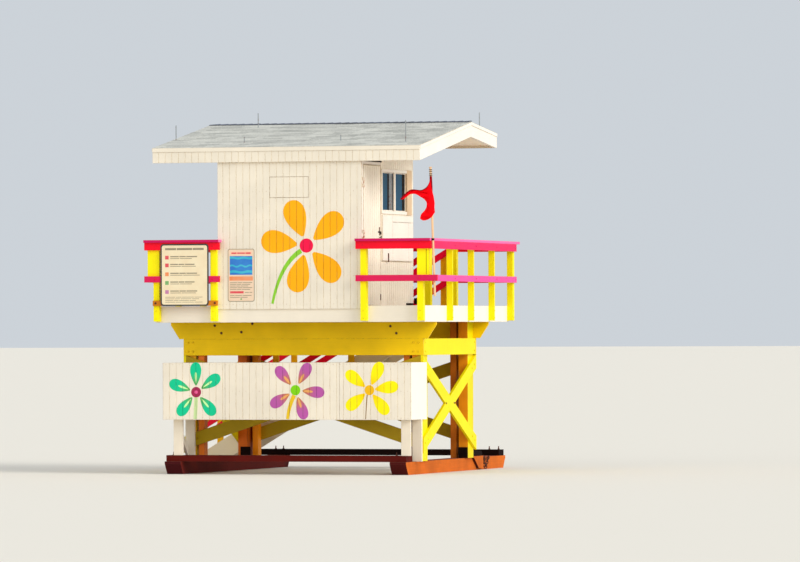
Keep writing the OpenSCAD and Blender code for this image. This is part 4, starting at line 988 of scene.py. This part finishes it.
# Nails along the siding's boards
def nail_rows(corner, first, right, rows, holes=()):
    """Places of nails, one in the middle of each board in each row, outside any hole and any flower."""
    pitch = 1000 * SIDING_PITCH
    places, x = [], corner + (first + pitch / 2) % pitch
    while x < right - 8:
        if x > corner + 8:
            places += [(x, z) for z in rows if not any(a < x < b and c < z < d for a, b, c, d in holes)
                       and not any(math.hypot(x - cx, z - cz) < reach for (cx, cz), reach in PAINTED)]
        x += pitch
    return places


PAINTED = ((WALL_CENTRE, 700), (MINT_CENTRE, 445), (MAUVE_CENTRE, 450), (YELLOW_CENTRE, 450))
sign_low, sign_high = span("wall_sign")
covered = [(sign_low.x, sign_high.x, sign_low.z, sign_high.z), hatch_hole]
locker_rows = [front_low.z + 25, (front_low.z + front_high.z) / 2, front_high.z - 25]
NAIL_FOOT, NAIL_STEP, NAIL_ROWS = 2450, 405, 6
wall_rows = [NAIL_FOOT + NAIL_STEP * i for i in range(NAIL_ROWS)]
wall_nails = nail_rows(hut_l, NEAR_GROOVE, hut_r, wall_rows, covered)
locker_nails = nail_rows(front_low.x, LOCKER_GROOVE, front_high.x, locker_rows)
piece("siding_nails", [
    studs(places, X, Z, (0, y - LIFT, 0), head=4, height=1.2, washer=4.5, sheet=0.4, sides=8, finish="nail")
    for places, y in ((wall_nails, front), (locker_nails, front_low.y))])

# Ridge: dark cap shingles (painted shade), each lapping the one before, and a thin strip on each gable under the
# shingles
cap_count = round(roof_wide / 127)
caps = grown(cap_tree(), "ridge_shingle", Count=cap_count, Pitch=roof_wide / 1000 / (cap_count + 0.25),
             Wing=0.06, Near=ups[0].z / ups[0].y, Far=-ups[1].z / ups[1].y, Sheet=0.006)
piece("ridge_caps", [(caps, Matrix.Translation(at(barge_low.x, ridge.y, ridge.z + 11)))])
near_eave, far_eave = [(y, top) for _, _, _, y, top in EAVES]
gable_runs = ((near_eave, (ridge.y, ridge.z)), ((ridge.y, ridge.z), far_eave))
piece("gable_strips", [slabs([([(ya, za - 48), (yb, zb - 48), (yb, zb - 2), (ya, za - 2)], x, x + 11)],
                             "white_front_x", (0, 0, 0), Y)
                       for x in (barge_high.x, barge_low.x - 11) for (ya, za), (yb, zb) in gable_runs])

# The sign's batten, foot blocks and the tow plate on the right skid
BATTEN, BATTEN_DEEP, BATTEN_BOLTS = (-2040, -1051, 2432, 2508), 38, [(-1995, 2470), (-1090, 2470)]
batten_l, batten_r, batten_low, batten_high = BATTEN
piece("sign_batten", [eased_box((batten_l, rail_near, batten_low),
                                (batten_r, rail_near + BATTEN_DEEP, batten_high), 3, "stained_pine"),
                      studs(BATTEN_BOLTS, X, Z, (0, rail_near, 0), **SMALL)])
block_y, skid_corner = span("far_right_posts")[0].y, span("right_skid")[1]
skid_side = skid_corner.x
BLOCK_DEEP, BLOCK_HIGH, BLOCKS = 38, 160, ((1647, 140), (-1740, 150))
# Foot blocks by the far posts' feet, near-black as painted shade
piece("foot_blocks", [eased_box((x, block_y - BLOCK_DEEP, skid_corner.z),
                                (x + wide, block_y, skid_corner.z + BLOCK_HIGH), 3, "tarred_x")
                      for x, wide in BLOCKS])
tow_plate = [(3200, 206), (3481, 24), (3707, 15), (3700, 206)]
# The plate's upper part, over the skid's top, is near-black as painted shade
upper_plate = [(3226, 286), (3200, 207), (3690, 207), (3650, 280)]
piece("tow_plate", [slabs([(tow_plate, skid_side, skid_side + 38)], "maroon_y", (0, 0, 0), Y),
                    slabs([(upper_plate, skid_side - 60, skid_side + 30)], "tarred_x", (0, 0, 0), Y)])
# A near-black strip at the near right corner between the rails: a painted shadow line
CORNER_SEAM = ((2086, -91, 2868), (2092, -89, 3228))
piece("corner_seam", [eased_box(*CORNER_SEAM, 0.5, "tarred_x")])

# Door side: places on faces that look right, most as two (y, z) corners in mm
DRIP_CAP, DOOR_HEAD = ((30, 4497), (880, 4514)), 4494
BOARD_BACK, SIDE_BOARD = 1081, ((2099, 3752), (2325, 4408))
LATCH, LATCH_SCREWS = ((1123, 3057), (1159, 3187)), [(1141, 3080), (1141, 3164)]
HASP, HASP_BAR, HASP_RING = ((786, 3440), (814, 3559)), ((740, 3478), (870, 3500)), (836, 3470)
FOOT_BOLT = ((834, 2505), (862, 2592))
DOOR_SCREWS = [(800, 3455), (800, 3544), (848, 2520), (848, 2577)]
FLOOR_SLOT, STEP_BLOCK = ((2084, 2437), (2377, 2466)), ((2476, 2452), (2525, 2540))
FLAP_NEAR, FLAP_FAR, FLAP_MIDDLE, FLAP_GAP, FLAP_SHEET = 1357, 2133, 3640, 3, 4
SASH_WIDE, SASH_LOW, SASH_HIGH, STILE, SASH_DEEP = 1180, 3800, 4360, 13, 12
PANE = (SASH_LOW + STILE, SASH_HIGH - STILE)
RIGHT_SASH, LEFT_SASH, FAR_SASH = (1080, 926, 0), (-1060, 1810, 0), (600, 2420, 0)
DARK_PANES, RIGHT_STILE, OTHER_STILE = ((325, 395), (1040, 1167)), (395, 545), (535, 645)


def plate(face_x, corners, deep, ease, finish):
    """A flat piece on a face that looks right."""
    (y0, z0), (y1, z1) = corners
    return eased_box((face_x, y0, z0), (face_x + deep, y1, z1), ease, finish)


def screws(face_x, places, head, washer, sheet):
    """Small round screws on a face that looks right."""
    return studs(places, Y, Z, (face_x, 0, 0), head=head, height=3, washer=washer, sheet=sheet, sides=12)


def sash(place, along, meeting):
    """Two sliding sashes seen from outside: a thin frame set on the glass, and the stile where they meet in grey
    as painted shade.
    """
    outlines = [bar(0, SASH_WIDE, SASH_LOW, PANE[0]), bar(0, SASH_WIDE, PANE[1], SASH_HIGH),
                bar(0, STILE, *PANE), bar(SASH_WIDE - STILE, SASH_WIDE, *PANE)]
    return [slabs([(outline, 0, SASH_DEEP) for outline in group], finish, place, along)
            for group, finish in ((outlines, "white_y"), ([bar(*meeting, *PANE)], "rod"))]


# The drip cap's near-black is a painted shadow line under the door's head
piece("drip_cap", [plate(hut_r, DRIP_CAP, 22, 3, "tarred_x")])
piece("door_head_siding", side_fields(hut_r, Y, 0, door_end, (0, door_end, SIDE_BASE, DOOR_HEAD)))
# Dark strips on the right window's panes: a painted reflection of the shaded jamb
piece("pane_shade", [slabs([(bar(*sides, *PANE), 0, 2) for sides in DARK_PANES], "glass_shade", RIGHT_SASH, Y)])
piece("window_sashes", sash(RIGHT_SASH, Y, RIGHT_STILE) + sash(LEFT_SASH, -Y, OTHER_STILE)
      + sash(FAR_SASH, -X, OTHER_STILE))
# A tan sheet over the casing's edge and the far jamb: painted shade in the recess beside the right window
board_deep = span("window_casings")[1].x + 3 - BOARD_BACK
piece("window_side_board", [plate(BOARD_BACK, SIDE_BOARD, board_deep, 2, "shaded_board")])
flap_low, flap_high = span("drop_flap")
flap_face = flap_high.x
flap_parts = ((flap_low.y, FLAP_NEAR, flap_low.z, flap_high.z),
              (FLAP_NEAR, flap_high.y, FLAP_MIDDLE, flap_high.z),
              (FLAP_NEAR, FLAP_FAR, flap_low.z, FLAP_MIDDLE),
              (FLAP_FAR, flap_high.y, flap_low.z, FLAP_MIDDLE))
piece("flap_panels", [plate(flap_face, ((a + FLAP_GAP, low + FLAP_GAP), (b - FLAP_GAP, high - FLAP_GAP)),
                            FLAP_SHEET, 1.5, "white_y") for a, b, low, high in flap_parts])
piece("flap_latch", [plate(flap_face + FLAP_SHEET, LATCH, 8, 2, "bolt"),
                     screws(flap_face + FLAP_SHEET + 8, LATCH_SCREWS, 5, 6, 1)])
leaf = door_high.x + LIFT
piece("door_hardware", [plate(leaf, HASP, 6, 2, "bolt"), plate(leaf, HASP_BAR, 7, 2, "black_iron"),
                        turned(ring(17, 5), (leaf + 12, *HASP_RING), X, "black_iron"),
                        plate(leaf, FOOT_BOLT, 8, 2, "bolt"), screws(leaf + 6, DOOR_SCREWS, 4, 5, 2.5)],
      "door")
# Floor slot and step block in the near-black used for painted shade
piece("floor_vent", [plate(hut_r, FLOOR_SLOT, 28, 3, "tarred_x"), plate(hut_r, STEP_BLOCK, 40, 3, "tarred_x")])

# Tow chain, by its link's length and its wire's radius
LINK, WIRE = 58, 6.5
chain_x = skid_side + 29


def strand(top, foot):
    """A straight run of chain down the skid between two (y, z) places."""
    start, pitch = (chain_x, *top), LINK - 2 * WIRE
    way = at(chain_x, *foot) - at(*start)
    links = [(0, pitch * (i + 0.5), 0) for i in range(round(way.length * 1000 / pitch))]
    return grown(CHAIN, "bolt", links, Wire=WIRE / 1000, Link=LINK / 1000), basis(start, X, way)


piece("tow_chain", [strand((3790, 180), (3775, 24)), strand((4000, 180), (3860, 24)),
                    *[turned(ring(24, 6), (chain_x, y, 172), X, "bolt") for y in (3790, 3998)]])

# Pole: it leans, so places on it follow its line
pole_low, pole_high = span("flag_pole")
POLE_Y = (pole_low.y + pole_high.y) / 2
pole_foot = Vector((pole_high.x - 16, POLE_Y, pole_low.z))
pole_way = (Vector((pole_low.x + 21, POLE_Y, pole_high.z)) - pole_foot).normalized()


def on_pole(z):
    """The pole's middle at a height."""
    return pole_foot + pole_way * ((z - pole_foot.z) / pole_way.z)


def collar(z, profile, finish="black_iron"):
    """A ring or tube turned about the pole from a height."""
    return turned(profile, on_pole(z), pole_way, finish)


piece("pole_clamp", [collar(z, [(16.2, 0), (radius, 0), (radius, tall), (16.2, tall)])
                     for z, radius, tall in ((3350, 21, 28), (2804, 20, 22))])
piece("flag_lashings", [collar(z, ring(20, 5)) for z in (4276, 4298, 4330, 4356)])

# Flag: one sheet of cloth between four measured edges, with folds that grow away from the pole
HOIST = [(2216, 3751), (2193, 3979), (2164, 4164), (2156, 4264)]
FLY = [(1992, 3660), (2016, 3722), (2096, 3837), (2081, 3909), (1992, 3981), (1872, 4015), (1734, 3938),
       (1704, 3946)]
LOWER = [(2216, 3751), (2171, 3680), (2105, 3645), (2037, 3634), (1992, 3660)]
UPPER = [(2156, 4264), (2124, 4150), (2022, 4072), (1850, 4072), (1704, 3946)]
FLAG_WIDE, FLAG_TALL, CLOTH, COLS, ROWS = 0.32, 0.50, 0.0014, 44, 72
# Each fold: its depth in mm, its waves up the hoist and out along the fly, and its start
FOLDS = ((17, 4.4, 0.35, 0.0), (5, 9.3, -0.6, 0.2))
# Places across the pole's line in mm: where the cloth comes loose and over how far, and where it wraps behind
LOOSE_FROM, LOOSE_RUN, WRAP_FROM, WRAP_RUN, WRAP_DEEP = 18, 70, 14, 34, 20


def along_curve(points, t):
    """A place on a smooth curve through points, by its share of the way."""
    marks = [0.0]
    for a, b in zip(points, points[1:]):
        marks.append(marks[-1] + math.dist(a, b))
    reach = t * marks[-1]
    i = max(k for k in range(len(points) - 1) if marks[k] <= reach + 1e-6)
    s = (reach - marks[i]) / (marks[i + 1] - marks[i])
    p = [points[max(i - 1, 0)], points[i], points[i + 1], points[min(i + 2, len(points) - 1)]]
    return Vector([0.5 * (2 * p[1][k] + (p[2][k] - p[0][k]) * s
                          + (2 * p[0][k] - 5 * p[1][k] + 4 * p[2][k] - p[3][k]) * s * s
                          + (3 * p[1][k] - p[0][k] - 3 * p[2][k] + p[3][k]) * s ** 3) for k in (0, 1)])


def smooth(x):
    """A soft step from 0 to 1."""
    x = min(max(x, 0.0), 1.0)
    return x * x * (3 - 2 * x)


def flag_place(u, v):
    """A place on the cloth: between its edges, then pushed out into folds and round the pole."""
    low, high, near_pole, free = (along_curve(*edge) for edge in ((LOWER, u), (UPPER, u), (HOIST, v), (FLY, v)))
    corners = [Vector(p) for p in (HOIST[0], FLY[0], HOIST[-1], FLY[-1])]
    flat = low * (1 - v) + high * v + near_pole * (1 - u) + free * u
    flat -= (corners[0] * (1 - u) + corners[1] * u) * (1 - v) + (corners[2] * (1 - u) + corners[3] * u) * v
    x, z = flat
    past = on_pole(z).x - x
    loose = smooth((past - LOOSE_FROM) / LOOSE_RUN)
    fold = sum(deep * math.sin(2 * math.pi * (up * v + out * u + start)) for deep, up, out, start in FOLDS)
    wrapped = smooth((-past - WRAP_FROM) / WRAP_RUN)
    return at(x, POLE_Y - WRAP_DEEP + loose * (LOOSE_FROM + fold) + WRAP_DEEP * wrapped, z)


cloth = bpy.data.meshes.new("flag_cloth")
corner_ids = [j * (COLS + 1) + i for j in range(ROWS) for i in range(COLS)]
cloth.from_pydata([flag_place(i / COLS, j / ROWS) for j in range(ROWS + 1) for i in range(COLS + 1)], [],
                  [(k, k + 1, k + COLS + 2, k + COLS + 1) for k in corner_ids])
weave = cloth.uv_layers.new(name="weave")
for loop in cloth.loops:
    j, i = divmod(loop.vertex_index, COLS + 1)
    weave.data[loop.index].uv = (FLAG_WIDE * i / COLS, FLAG_TALL * j / ROWS)
cloth.materials.append(MATERIALS["flag"])
flag_sheet = placed("flag_cloth", cloth)
flag_sheet.modifiers.new("body", "SOLIDIFY").thickness = CLOTH
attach(flag_sheet, "tower")
SLEEVE_FOOT = 3745
SLEEVE = [(16.3, 0), (18.2, 0), (19.4, 120), (18.4, 260), (20.2, 380), (18.6, 500), (17.2, 520), (16.3, 520)]
sleeve = piece("flag_sleeve", [collar(SLEEVE_FOOT, SLEEVE, "flag")])
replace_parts(flag_sheet, "flag")

# Floor and light
ground = bpy.data.meshes.new("pale_floor")
FLOOR_REACH = 600
ground.from_pydata([(x * FLOOR_REACH, y * FLOOR_REACH, 0) for x, y in ((-1, -1), (1, -1), (1, 1), (-1, 1))], [],
                   [(0, 1, 2, 3)])
ground.materials.append(MATERIALS["paper"])
stage_floor = placed("pale_floor", ground)

scene.world = bpy.data.worlds.new("studio")
scene.world.use_nodes = True
sky = scene.world.node_tree.nodes["Background"].inputs
sky[0].default_value, sky[1].default_value = rgb("#e4ebf2"), 0.78
for lamp, way, energy, spread, tint in (("key", (0.82, -0.28, 0.44), 2.25, 30, (1.0, 0.96, 0.90)),
                                        ("fill", (-0.15, -1.0, 0.20), 0.95, 70, (1.0, 0.95, 0.86))):
    sun = bpy.data.lights.new(lamp, "SUN")
    sun.energy = energy
    sun.angle = math.radians(spread)
    sun.color = tint
    placed(lamp, sun).rotation_euler = Vector(way).to_track_quat("Z", "Y").to_euler()
scene.view_settings.view_transform = "Standard"
